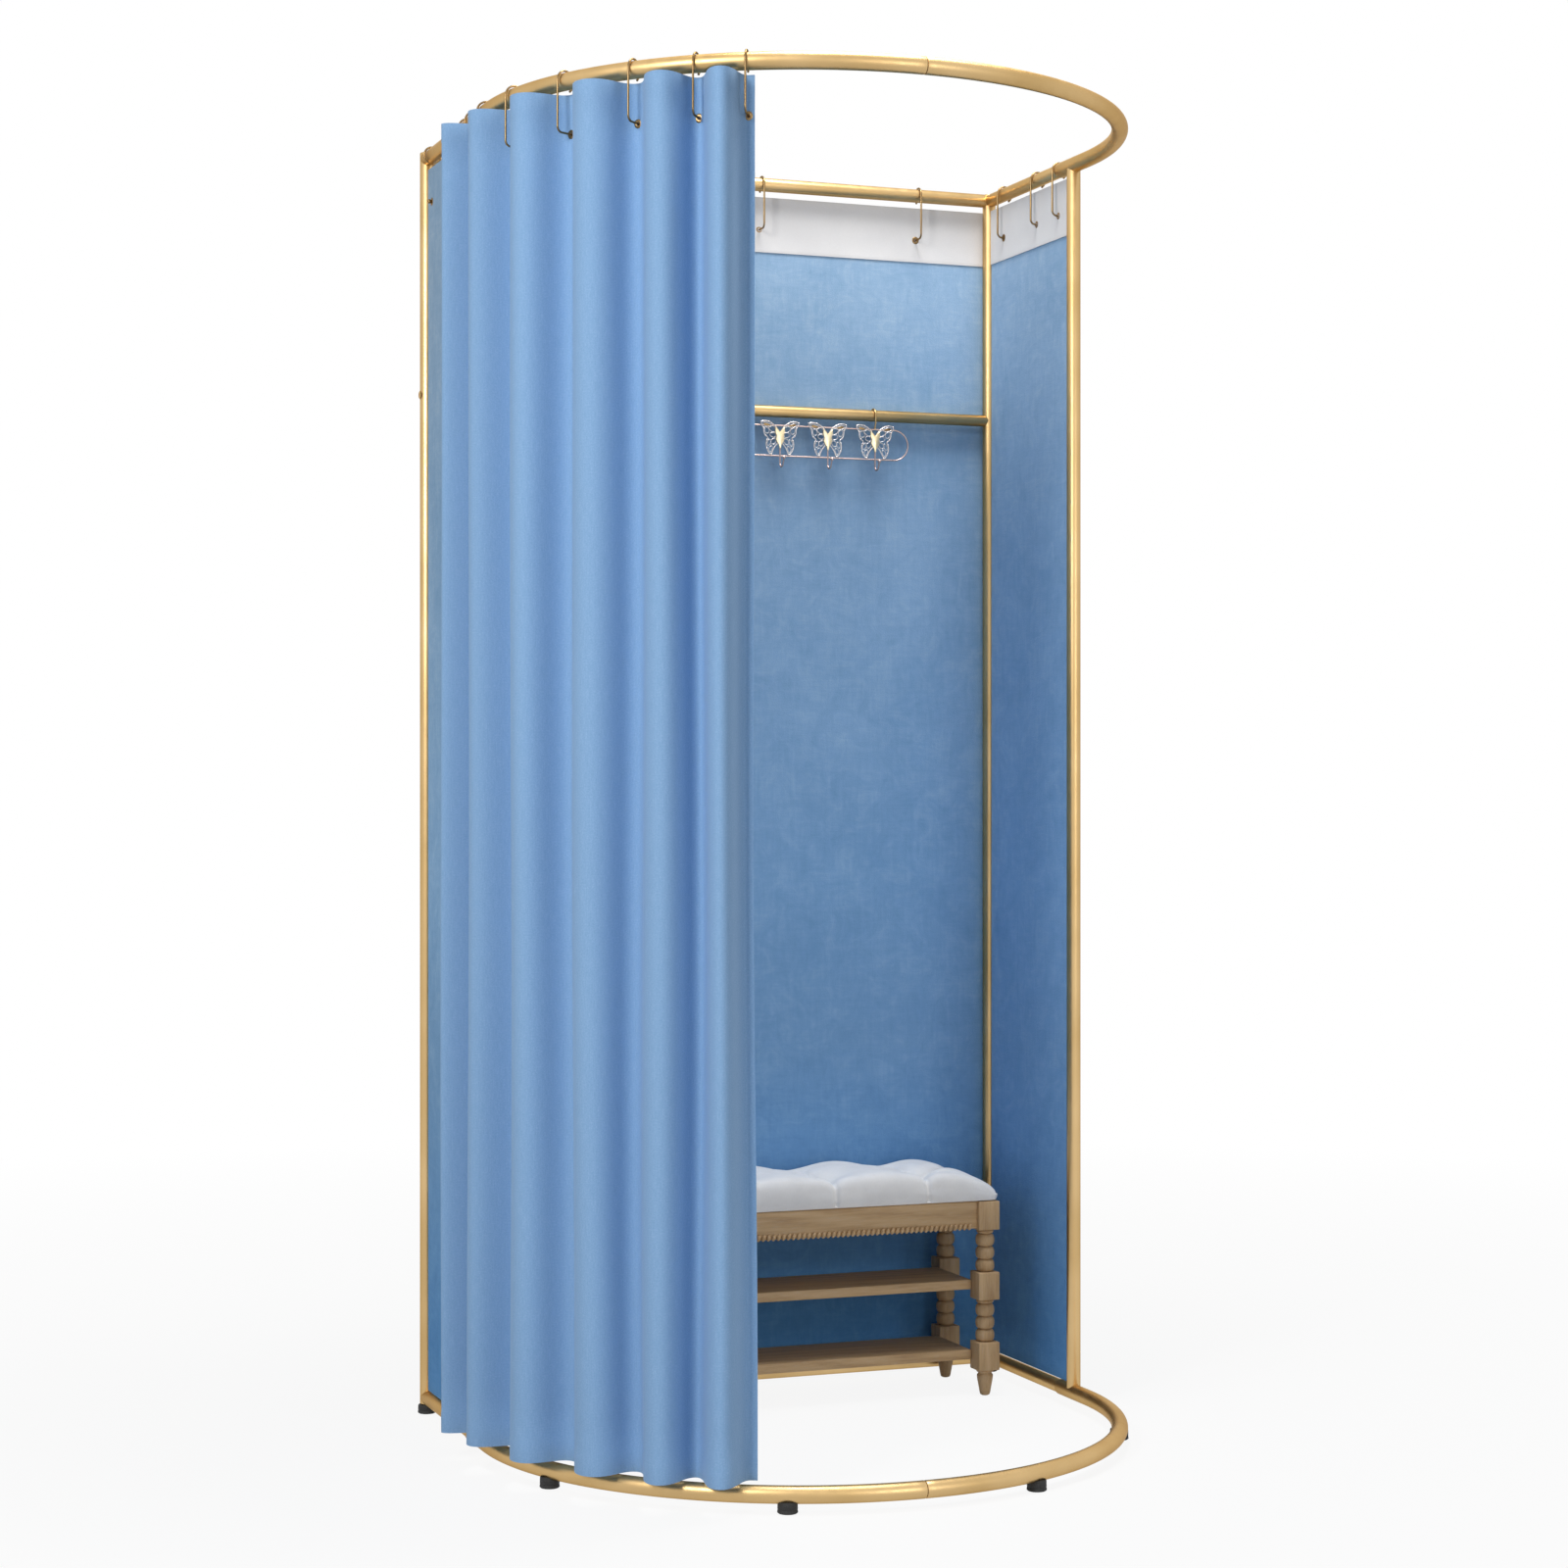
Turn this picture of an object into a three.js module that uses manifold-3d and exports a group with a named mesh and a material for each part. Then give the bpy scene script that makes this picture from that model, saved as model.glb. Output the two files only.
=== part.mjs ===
// Portable fitting room: a D-shaped tube frame hung with fabric panels, with a curtain that slides
// along the front arc, a row of butterfly hooks on the back bar and a small upholstered bench.
// Millimetres, Z up. X runs along the back wall and the rounded front faces -Y.
import * as THREE from 'three';
import { mergeVertices } from 'three/addons/utils/BufferGeometryUtils.js';
import Module from 'manifold-3d';

const wasm = await Module();
wasm.setup();

// Whole booth
const total_height = 2000;
const ring_radius = 489;
const side_length = 370;
const seat_clearance = 0.3;
const cut_overrun = 6;
const merge_distance = 0.0001;

// Tubes
const arc_tube_diameter = 25;
const straight_tube_diameter = 22;
const mid_bar_diameter = 19;
const foot_height = 12.5;
const arc_tail = 90;
const plug_depth = 45;
const peg_diameter = 16;
const peg_length = 30;
const socket_depth = plug_depth + seat_clearance;
const front_post_setback = 45;
const mid_bar_drop = 386;
const bolt_diameter = 6;
const bolt_head_diameter = 13;
const bolt_head_height = 1.3;
const bolt_bite = 28;

// Feet
const foot_diameter = 29;
const foot_edge = 1.5;
const foot_wrap = 5;
const foot_pin_diameter = 7;
const foot_pin_length = 9;
const inner_foot_travel = 193;
const outer_foot_travel = 572;

// Wall panels
const panel_thickness = 1.5;
const back_panel_floor_gap = 18;
const header_gap = 7.5;
const header_height = 91;
const header_thickness = 1.2;

// Wire hooks
const hook_wire_diameter = 3;
const hook_drop = 72.5;
const hook_ring_clearance = 0.5;
const curtain_ring_slack = 0.7;
const hook_bend_radius = 8;
const hook_ball_diameter = 6;
const hook_tip_overhang = 4;
const hook_ring_open_share = 0.15;
const back_hook_shares = [-0.732, -0.157, 0.157, 0.732];
const right_hook_shares = [0.26, 0.48, 0.83];
const left_hook_shares = [0.322, 0.905];

// Curtain
const curtain_thickness = 1.5;
const curtain_top_gap = 4;
const curtain_floor_gap = 41;
const curtain_valley_reach = -12;
const curtain_ridge_reach = 50;
const return_ridge_reach = 61;
const return_edge_reach = 26;
const curtain_hem = 12;
const strip_gap = 0.4;
const fold_ridge_share = 0.02;
const fold_flank_share = 0.02;
const fold_lean_share = 0.11;
const fold_steps = 18;
const return_hook_setback = 74;
const curtain_start_setback = 5;
const curtain_hook_shares = [0.139, 0.299, 0.459, 0.583, 0.676];

// Butterfly rack
const rack_centre = 21;
const rack_half_length = 315;
const rack_hang = 24;
const rack_drop = 50;
const rack_wire_diameter = 2.6;
const rack_setback = 7;
const rack_end_room = 60;
const butterfly_count = 7;
const butterfly_width = 66;
const butterfly_height = 60;
const butterfly_thickness = 1.6;
const butterfly_rise = 8;
const body_width = 11;
const body_height = 25;
const body_thickness = 5;
const rack_hook_drop = 50;
const rack_hook_reach = 20;
const rack_hook_bend = 8;
const rack_hook_turn_share = 0.75;
const rack_ball_diameter = 6;
const hanger_places_share = [-1, 1];

// Bench
const bench_end_gap = 61.5;
const bench_back_gap = 4.5;
const bench_leg_spacing = 160;
const bench_top = 318;
const leg_block = 37;
const top_block_height = 47;
const mid_block_height = 45;
const low_block_height = 46;
const bead_run_height = 69;
const bench_foot_height = 42;
const bead_diameter = 31;
const bead_neck_diameter = 19;
const beads_in_run = 3;
const leg_collar_height = 7;
const bead_flank_share = 0.33;
const foot_top_diameter = 26;
const foot_tip_diameter = 17;
const foot_shoulder_share = 0.8;
const foot_neck_share = 0.92;
const block_chamfer = 1.5;
const apron_height = 44;
const apron_thickness = 16;
const apron_setback = 8;
const seat_board_thickness = 12;
const shelf_thickness = 16;
const shelf_setback = 29;
const cushion_thickness = 60;
const cushion_overhang = 7;
const cushion_side_pinch = 5;
const cushion_edge_share = 0.42;
const cushion_end_bow_share = 0.012;
const cushion_side_bow_share = 0.03;
const cushion_end_squareness = 8;
const cushion_side_squareness = 4;
const tuft_depth = 15;
const tuft_reach = 21;
const tuft_columns = 7;
const tuft_row_share = 0.46;

// Facets
const tube_sides = 12;
const pin_sides = 8;
const wire_sides = 5;
const leg_sides = 8;
const arc_steps = 18;
const plug_steps = 3;
const hook_turn_step = Math.PI / 8;
const rack_turn_step = Math.PI / 5;
const ball_columns = 6;
const ball_rows = 4;
const cushion_columns = 32;
const cushion_rows = 9;

// Derived places
const arc_radius = arc_tube_diameter / 2;
const tube_radius = straight_tube_diameter / 2;
const peg_radius = peg_diameter / 2;
const base_level = foot_height + arc_radius;
const top_level = total_height - arc_radius;
const quarter_arc = ring_radius * Math.PI / 2;
const eyelet_height = top_level - hook_drop;
const header_top_height = top_level - tube_radius - header_gap;
const header_bottom_height = header_top_height - header_height;
const curtain_top_height = top_level - arc_radius - curtain_top_gap;
const mid_bar_height = total_height - mid_bar_drop;
const bench_half_span = ring_radius - tube_radius - bench_end_gap - leg_block / 2;
const bench_back = side_length - bench_back_gap - leg_block / 2;
const bench_front = bench_back - bench_leg_spacing;
const rack_top_height = mid_bar_height - rack_hang;
const butterfly_pitch = (rack_half_length - rack_end_room) * 2 / (butterfly_count - 1);
const back_header_reach = tube_radius + seat_clearance;
const back_panel_reach = back_header_reach + header_thickness + seat_clearance + panel_thickness / 2;
const side_panel_low_height = base_level + arc_radius + seat_clearance;
const eyelet_radius = hook_wire_diameter / 2 + seat_clearance;

const materials = {
  gold: new THREE.MeshStandardMaterial({ color: 0xc9a45c, metalness: 1, roughness: 0.28 }),
  rose: new THREE.MeshStandardMaterial({ color: 0xd9a586, metalness: 1, roughness: 0.3 }),
  rubber: new THREE.MeshStandardMaterial({ color: 0x18181a, roughness: 0.8 }),
  panel: new THREE.MeshStandardMaterial({ color: 0x6b98c9, roughness: 0.95 }),
  header: new THREE.MeshStandardMaterial({ color: 0xdcdde2, roughness: 0.9 }),
  curtain: new THREE.MeshStandardMaterial({ color: 0x86aedc, roughness: 0.85 }),
  cushion: new THREE.MeshStandardMaterial({ color: 0xe4e4e7, roughness: 0.8 }),
  wood: new THREE.MeshStandardMaterial({ color: 0xa78a68, roughness: 0.6 }),
};

const booth = new THREE.Group();

// Closed mesh to solid, for joining and cutting
function solidOf(geometry) {
  const bare = geometry.clone();
  bare.deleteAttribute('normal');
  bare.deleteAttribute('uv');
  const merged = mergeVertices(bare, merge_distance);
  return new wasm.Manifold(new wasm.Mesh({
    numProp: 3,
    vertProperties: merged.attributes.position.array,
    triVerts: new Uint32Array(merged.index.array),
  }));
}

// Solid back to a mesh geometry
function geometryOf(solid) {
  const mesh = solid.getMesh();
  const geometry = new THREE.BufferGeometry();
  geometry.setAttribute('position', new THREE.BufferAttribute(mesh.vertProperties, 3));
  geometry.setIndex(new THREE.BufferAttribute(mesh.triVerts, 1));
  geometry.computeVertexNormals();
  return geometry;
}

// Joins the first list of shapes and cuts the second from it
function shaped(joined, cuts = []) {
  let solid = solidOf(joined[0]);
  for (const geometry of joined.slice(1)) {
    solid = solid.add(solidOf(geometry));
  }
  for (const geometry of cuts) {
    solid = solid.subtract(solidOf(geometry));
  }
  return geometryOf(solid);
}

function addPiece(name, geometry, material) {
  const mesh = new THREE.Mesh(geometry, material.clone());
  mesh.name = name;
  booth.add(mesh);
  return mesh;
}

function circleShape(radius, sides) {
  const shape = new THREE.Shape();
  for (let side = 0; side < sides; side += 1) {
    const angle = side / sides * Math.PI * 2;
    const corner = [radius * Math.cos(angle), radius * Math.sin(angle)];
    if (side === 0) shape.moveTo(...corner);
    else shape.lineTo(...corner);
  }
  return shape;
}

function sweep(curve, radius, sides, steps) {
  return new THREE.ExtrudeGeometry(circleShape(radius, sides), { extrudePath: curve, steps });
}

function rod(start, end, radius, sides = tube_sides) {
  return sweep(new THREE.LineCurve3(start, end), radius, sides, 1);
}

function uprightRod(x, y, low, high, radius, sides = tube_sides) {
  return rod(new THREE.Vector3(x, y, low), new THREE.Vector3(x, y, high), radius, sides);
}

// Turned form about a vertical axis, from [radius, height] pairs that start and end on the axis
function turned(profile, x, y, segments = tube_sides) {
  const points = profile.map(([radius, height]) => new THREE.Vector2(radius, height));
  const geometry = new THREE.LatheGeometry(points, segments);
  geometry.rotateX(Math.PI / 2);
  return geometry.translate(x, y, 0);
}

function box(low, high) {
  const geometry = new THREE.BoxGeometry(high[0] - low[0], high[1] - low[1], high[2] - low[2]);
  return geometry.translate((low[0] + high[0]) / 2, (low[1] + high[1]) / 2, (low[2] + high[2]) / 2);
}

// Place on the ring's plan: travel from the front centre, to the right when positive, and reach outwards
function ringPoint(travel, reach, height) {
  const hand = travel < 0 ? -1 : 1;
  const along = Math.abs(travel);
  const radius = ring_radius + reach;
  if (along > quarter_arc) {
    return new THREE.Vector3(hand * radius, along - quarter_arc, height);
  }
  const angle = along / ring_radius;
  return new THREE.Vector3(hand * radius * Math.sin(angle), -radius * Math.cos(angle), height);
}

// Direction in plan that points out of the booth at a travel
function outwardAngle(travel) {
  const angle = Math.min(Math.abs(travel), quarter_arc) / ring_radius;
  return travel < 0 ? -Math.PI / 2 - angle : angle - Math.PI / 2;
}

class RingRun extends THREE.Curve {
  constructor(from, to, height) {
    super();
    this.from = from;
    this.to = to;
    this.height = height;
  }

  getPoint(share, target = new THREE.Vector3()) {
    return target.copy(ringPoint(THREE.MathUtils.lerp(this.from, this.to, share), 0, this.height));
  }
}

function ringRun(from, to, height, radius, steps) {
  return sweep(new RingRun(from, to, height), radius, tube_sides, steps);
}

// Peg that stands on a tube and carries the end of another one
function pegFrom(centre, direction, carrier_radius) {
  const start = centre.clone().addScaledVector(direction, carrier_radius - peg_radius / 2);
  const end = centre.clone().addScaledVector(direction, carrier_radius + peg_length);
  return rod(start, end, peg_radius, pin_sides);
}

function pegBore(centre, direction, carrier_radius) {
  const end = centre.clone().addScaledVector(direction, carrier_radius + peg_length + seat_clearance);
  return rod(centre, end, peg_radius + seat_clearance, pin_sides);
}

// The bent run of half a front arc, from the front centre to the end of its straight tail
function arcRun(hand, height, radius) {
  const start = hand > 0 ? seat_clearance : 0;
  return ringRun(hand * start, hand * (quarter_arc + arc_tail), height, radius, arc_steps);
}

// Half of a front arc, with sockets for the back-going tube and for the other half
function frontArc(hand, height, up) {
  const end = quarter_arc + arc_tail;
  const socket_radius = tube_radius + seat_clearance;
  const post_foot = ringPoint(hand * (quarter_arc + front_post_setback), 0, height);
  const towards_post = new THREE.Vector3(0, 0, up);
  const joined = [arcRun(hand, height, arc_radius), pegFrom(post_foot, towards_post, arc_radius)];
  const socket_start = end - socket_depth;
  const socket_end = end + cut_overrun;
  const cuts = [ringRun(hand * socket_start, hand * socket_end, height, socket_radius, 1)];
  if (up > 0) {
    for (const travel of [inner_foot_travel, outer_foot_travel]) {
      cuts.push(footPinHole(ringPoint(hand * travel, 0, height)));
    }
  }
  if (hand > 0) {
    cuts.push(ringRun(-cut_overrun, socket_depth, height, socket_radius, plug_steps));
    return shaped(joined, cuts);
  }
  // The left half's drawn-down end plugs into the right half
  const plug = ringRun(-seat_clearance, plug_depth, height, tube_radius, plug_steps);
  return geometryOf(solidOf(shaped(joined, cuts)).add(solidOf(plug)));
}

function footPinHole(place) {
  const low = place.z - arc_radius - cut_overrun;
  const high = place.z - arc_radius + foot_pin_length + seat_clearance;
  return uprightRod(place.x, place.y, low, high, foot_pin_diameter / 2 + seat_clearance, pin_sides);
}

// Rubber foot with a pin, and a saddle where it carries the round tube of an arc
function rubberFoot(place, bottom_of_carrier, saddle) {
  const radius = foot_diameter / 2;
  const pin_radius = foot_pin_diameter / 2;
  const body_top = saddle ? bottom_of_carrier + foot_wrap : bottom_of_carrier - seat_clearance;
  const pin_top = bottom_of_carrier + foot_pin_length;
  const geometry = turned([
    [0, 0],
    [radius - foot_edge, 0],
    [radius, foot_edge],
    [radius - foot_edge, body_top],
    [0, body_top],
  ], place.x, place.y);
  const pin = uprightRod(place.x, place.y, foot_edge, pin_top, pin_radius, pin_sides);
  return saddle ? shaped([shaped([geometry], [saddle]), pin]) : shaped([geometry, pin]);
}

function makeFrontFrame() {
  for (const [side, hand] of [['left', -1], ['right', 1]]) {
    addPiece(`base_front_arc_${side}`, frontArc(hand, base_level, 1), materials.gold);
    addPiece(`top_front_arc_${side}`, frontArc(hand, top_level, -1), materials.gold);
    addPiece(`front_post_${side}`, frontPost(hand), materials.gold);
    for (const [label, travel] of [['inner', inner_foot_travel], ['outer', outer_foot_travel]]) {
      const place = ringPoint(hand * travel, 0, base_level);
      const saddle = arcRun(hand, base_level, arc_radius + seat_clearance);
      addPiece(`foot_${label}_${side}`, rubberFoot(place, foot_height, saddle), materials.rubber);
    }
  }
}

// Upright between the two arcs, coped to both and bored for their pegs
function frontPost(hand) {
  const low = ringPoint(hand * (quarter_arc + front_post_setback), 0, base_level);
  const high = ringPoint(hand * (quarter_arc + front_post_setback), 0, top_level);
  const near = quarter_arc + front_post_setback - arc_tube_diameter;
  const far = quarter_arc + front_post_setback + arc_tube_diameter;
  const cope_radius = arc_radius + seat_clearance;
  return shaped([uprightRod(low.x, low.y, low.z, high.z, tube_radius)], [
    ringRun(hand * near, hand * far, base_level, cope_radius, 1),
    ringRun(hand * near, hand * far, top_level, cope_radius, 1),
    pegBore(low, new THREE.Vector3(0, 0, 1), arc_radius),
    pegBore(high, new THREE.Vector3(0, 0, -1), arc_radius),
  ]);
}

function cornerPlace(hand, height) {
  return new THREE.Vector3(hand * ring_radius, side_length, height);
}

// Full-height upright with a peg for each tube that meets it
function cornerPost(hand) {
  const low = cornerPlace(hand, base_level - tube_radius);
  const joined = [uprightRod(low.x, low.y, low.z, top_level + tube_radius, tube_radius)];
  for (const height of [base_level, top_level]) {
    joined.push(pegFrom(cornerPlace(hand, height), new THREE.Vector3(0, -1, 0), tube_radius));
    joined.push(pegFrom(cornerPlace(hand, height), new THREE.Vector3(-hand, 0, 0), tube_radius));
  }
  const pin_high = low.z + foot_pin_length + seat_clearance;
  const pin_hole_radius = foot_pin_diameter / 2 + seat_clearance;
  const pin_hole = uprightRod(low.x, low.y, low.z - cut_overrun, pin_high, pin_hole_radius, pin_sides);
  return shaped(joined, [pin_hole, boltHole(hand)]);
}

function boltHole(hand) {
  const outer = ring_radius + tube_radius + cut_overrun;
  const inner = ring_radius - tube_radius - bolt_bite - seat_clearance;
  const start = new THREE.Vector3(hand * outer, side_length, mid_bar_height);
  const end = new THREE.Vector3(hand * inner, side_length, mid_bar_height);
  return rod(start, end, bolt_diameter / 2 + seat_clearance, pin_sides);
}

// Dome-headed bolt through the corner post into the end of the middle bar
function midBarBolt(hand) {
  const seat = ring_radius + tube_radius;
  const head_radius = bolt_head_diameter / 2;
  const end = seat - tube_radius * 2 - bolt_bite;
  const shank = rod(new THREE.Vector3(hand * (seat + seat_clearance), side_length, mid_bar_height),
    new THREE.Vector3(hand * end, side_length, mid_bar_height), bolt_diameter / 2, pin_sides);
  const dome = turned([
    [0, 0],
    [head_radius, 0],
    [head_radius, bolt_head_height / 2],
    [head_radius / 2, bolt_head_height],
    [0, bolt_head_height],
  ], 0, 0);
  dome.rotateY(hand * Math.PI / 2);
  dome.translate(hand * (seat + seat_clearance / 2), side_length, mid_bar_height);
  return shaped([dome, shank]);
}

// Cutters for a tube that ends at a corner post: the post itself and its two pegs
function cornerCuts(hand, height) {
  const corner = cornerPlace(hand, height);
  return [
    uprightRod(corner.x, corner.y, height - arc_tube_diameter, height + arc_tube_diameter,
      tube_radius + seat_clearance),
    pegBore(corner, new THREE.Vector3(0, -1, 0), tube_radius),
    pegBore(corner, new THREE.Vector3(-hand, 0, 0), tube_radius),
  ];
}

// Straight tube from an arc's socket to the corner post, coped round the back tube beside it
function sideTube(hand, height) {
  const corner = cornerPlace(hand, height);
  const start = new THREE.Vector3(hand * ring_radius, arc_tail - plug_depth, height);
  const inward = new THREE.Vector3(hand * (ring_radius - arc_tube_diameter), side_length, height);
  const beside = rod(corner, inward, tube_radius + seat_clearance);
  return shaped([rod(start, corner, tube_radius)], [...cornerCuts(hand, height), beside]);
}

function backTube(height) {
  const cuts = [...cornerCuts(-1, height), ...cornerCuts(1, height)];
  return shaped([rod(cornerPlace(-1, height), cornerPlace(1, height), tube_radius)], cuts);
}

function midBar() {
  const cuts = [];
  for (const hand of [-1, 1]) {
    cuts.push(uprightRod(hand * ring_radius, side_length, mid_bar_height - mid_bar_diameter,
      mid_bar_height + mid_bar_diameter, tube_radius + seat_clearance));
    cuts.push(boltHole(hand));
  }
  const bar = rod(cornerPlace(-1, mid_bar_height), cornerPlace(1, mid_bar_height), mid_bar_diameter / 2);
  return shaped([bar], cuts);
}

function makeBackFrame() {
  for (const [side, hand] of [['left', -1], ['right', 1]]) {
    addPiece(`base_side_tube_${side}`, sideTube(hand, base_level), materials.gold);
    addPiece(`top_side_tube_${side}`, sideTube(hand, top_level), materials.gold);
    addPiece(`corner_post_${side}`, cornerPost(hand), materials.gold);
    addPiece(`mid_bar_bolt_${side}`, midBarBolt(hand), materials.gold);
    const place = cornerPlace(hand, 0);
    addPiece(`foot_corner_${side}`, rubberFoot(place, base_level - tube_radius, null), materials.rubber);
  }
  addPiece('base_back_tube', backTube(base_level), materials.gold);
  addPiece('top_back_tube', backTube(top_level), materials.gold);
  addPiece('mid_bar', midBar(), materials.gold);
}

// Flat wall cloths with a white band along the inside of their tops, and an eyelet at every hook.
// The back one hangs behind the posts.
function makeBackPanel() {
  const near = side_length + back_header_reach;
  const far = side_length + back_panel_reach + panel_thickness / 2;
  const holes = back_hook_shares.map((share) => rod(
    new THREE.Vector3(share * ring_radius, near - cut_overrun, eyelet_height),
    new THREE.Vector3(share * ring_radius, far + cut_overrun, eyelet_height), eyelet_radius, pin_sides));
  const cloth = box([-ring_radius, far - panel_thickness, back_panel_floor_gap],
    [ring_radius, far, header_top_height]);
  const band = box([-ring_radius, near, header_bottom_height],
    [ring_radius, near + header_thickness, header_top_height]);
  addPiece('back_panel', shaped([cloth], holes), materials.panel);
  addPiece('back_header', shaped([band], holes), materials.header);
}

// Each side one hangs between its posts, in line with the tubes
function makeSidePanel(side, hand, hook_shares) {
  const outer = ring_radius + panel_thickness / 2;
  const inner = ring_radius - panel_thickness / 2;
  const band_outer = inner - seat_clearance;
  const band_inner = band_outer - header_thickness;
  const front = front_post_setback + tube_radius + seat_clearance;
  const back = side_length - tube_radius - seat_clearance;
  const holes = hook_shares.map((share) => rod(
    new THREE.Vector3(hand * (band_inner - cut_overrun), share * side_length, eyelet_height),
    new THREE.Vector3(hand * (outer + cut_overrun), share * side_length, eyelet_height),
    eyelet_radius, pin_sides));
  const cloth = box([Math.min(hand * inner, hand * outer), front, side_panel_low_height],
    [Math.max(hand * inner, hand * outer), back, header_top_height]);
  const band = box([Math.min(hand * band_inner, hand * band_outer), front, header_bottom_height],
    [Math.max(hand * band_inner, hand * band_outer), back, header_top_height]);
  addPiece(`side_panel_${side}`, shaped([cloth], holes), materials.panel);
  addPiece(`side_header_${side}`, shaped([band], holes), materials.header);
}

// Upright run of wire along a flat path of lines and arcs, with a corner for every small turn
class WireRun extends THREE.Curve {
  constructor(path, turn_step) {
    super();
    this.points = [path.curves[0].getPoint(0)];
    for (const curve of path.curves) {
      const turn = curve.isEllipseCurve ? Math.abs(curve.aEndAngle - curve.aStartAngle) : 0;
      const parts = Math.max(Math.round(turn / turn_step), 1);
      this.points.push(...curve.getPoints(parts).slice(1));
    }
  }

  getUtoTmapping(share) {
    return share;
  }

  getPoint(share, target = new THREE.Vector3()) {
    const place = share * (this.points.length - 1);
    const before = Math.min(Math.floor(place), this.points.length - 2);
    const point = this.points[before].clone().lerp(this.points[before + 1], place - before);
    return target.set(point.x, 0, point.y);
  }
}

function wireAlong(path, wire_diameter, turn_step) {
  const run = new WireRun(path, turn_step);
  return sweep(run, wire_diameter / 2, wire_sides, run.points.length - 1);
}

function wireBall(x, z, diameter) {
  const ball = new THREE.SphereGeometry(diameter / 2, ball_columns, ball_rows);
  return ball.translate(x, 0, z);
}

// Wire hook: an open ring round the tube, a stem down one side of it and a bend through the cloth.
// Its origin is on the tube's centre line and its X points out of the booth.
function wireHook(carrier_radius, stem_hand, cloth_reach) {
  const ring = carrier_radius + hook_ring_clearance + hook_wire_diameter / 2;
  const stem = stem_hand * ring;
  const bend_hand = Math.sign(cloth_reach - stem);
  const wire_level = eyelet_height - top_level;
  const bend_centre = wire_level + hook_bend_radius;
  const tip = cloth_reach + bend_hand * (panel_thickness / 2 + hook_tip_overhang);
  const path = new THREE.Path();
  const open_angle = Math.PI * 2 * hook_ring_open_share;
  const from = stem_hand > 0 ? Math.PI + open_angle : -open_angle;
  const to = stem_hand > 0 ? 0 : Math.PI;
  path.absarc(0, 0, ring, from, to, stem_hand > 0);
  const bend_from = bend_hand > 0 ? Math.PI : 0;
  const bend_to = bend_hand > 0 ? Math.PI * 1.5 : -Math.PI / 2;
  path.absarc(stem + bend_hand * hook_bend_radius, bend_centre, hook_bend_radius,
    bend_from, bend_to, bend_hand < 0);
  path.lineTo(tip, wire_level);
  const wire = wireAlong(path, hook_wire_diameter, hook_turn_step);
  return shaped([wire, wireBall(tip, wire_level, hook_ball_diameter)]);
}

function hangHook(name, geometry, place, outward) {
  const mesh = addPiece(name, geometry, materials.gold);
  mesh.position.copy(place);
  mesh.rotation.z = outward;
}

// Panel hooks have their stem inside the booth and reach out through the band and the cloth
function makePanelHooks() {
  const back_hook = wireHook(tube_radius, -1, back_panel_reach);
  const side_hook = wireHook(tube_radius, -1, 0);
  back_hook_shares.forEach((share, index) => {
    const place = new THREE.Vector3(share * ring_radius, side_length, top_level);
    hangHook(`panel_hook_back_${index + 1}`, back_hook, place, Math.PI / 2);
  });
  right_hook_shares.forEach((share, index) => {
    const place = new THREE.Vector3(ring_radius, share * side_length, top_level);
    hangHook(`panel_hook_right_${index + 1}`, side_hook, place, 0);
  });
  left_hook_shares.forEach((share, index) => {
    const place = new THREE.Vector3(-ring_radius, share * side_length, top_level);
    hangHook(`panel_hook_left_${index + 1}`, side_hook, place, Math.PI);
  });
}

// Travels of the curtain's hooks, from the one behind the left post to the leading one
function curtainHookTravels() {
  const travels = [-(quarter_arc + return_hook_setback), -(quarter_arc + curtain_start_setback)];
  for (const share of curtain_hook_shares) {
    travels.push((share - 1) * quarter_arc);
  }
  return travels;
}

// One fold from hook to hook as [travel, reach] pairs: it comes in at its ends and stands out between
// them, with a round ridge that leans towards the leading edge
function foldLine(from, to, first_reach, ridge) {
  const line = [];
  for (let step = 0; step <= fold_steps; step += 1) {
    const share = step / fold_steps;
    const turn = share * Math.PI * 2;
    const rise = (1 - Math.cos(turn)) / 2;
    const slip = fold_lean_share * rise + fold_flank_share * Math.sin(turn * 2)
      - fold_ridge_share * Math.sin(turn);
    const valley = THREE.MathUtils.lerp(curtain_valley_reach, first_reach, (1 - share) ** 2);
    const reach = THREE.MathUtils.lerp(valley, ridge, rise);
    line.push([THREE.MathUtils.lerp(from, to, share + slip), reach]);
  }
  return line;
}

// The pair that mirrors a neighbour across the end of a line, so that the end is cut square
function mirrored(end, neighbour) {
  return [end[0] * 2 - neighbour[0], neighbour[1]];
}

// Upright cloth strip of even thickness along a line of [travel, reach] pairs
function clothStrip(line) {
  const last = line.length - 1;
  const whole = [mirrored(line[0], line[1]), ...line, mirrored(line[last], line[last - 1])];
  const points = whole.map(([travel, reach]) => ringPoint(travel, reach, 0));
  const left = [];
  const right = [];
  for (let index = 1; index <= line.length; index += 1) {
    const along = points[index + 1].clone().sub(points[index - 1]).normalize();
    const half = new THREE.Vector2(-along.y, along.x).multiplyScalar(curtain_thickness / 2);
    const middle = new THREE.Vector2(points[index].x, points[index].y);
    left.push(middle.clone().add(half));
    right.push(middle.clone().sub(half));
  }
  const shape = new THREE.Shape([...left, ...right.reverse()]);
  const depth = curtain_top_height - curtain_floor_gap;
  const geometry = new THREE.ExtrudeGeometry(shape, { depth, bevelEnabled: false });
  return geometry.translate(0, 0, curtain_floor_gap);
}

function curtainEyelet(travel, reach) {
  const start = ringPoint(travel, reach - cut_overrun, eyelet_height);
  const end = ringPoint(travel, reach + cut_overrun, eyelet_height);
  return rod(start, end, eyelet_radius, pin_sides);
}

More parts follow.
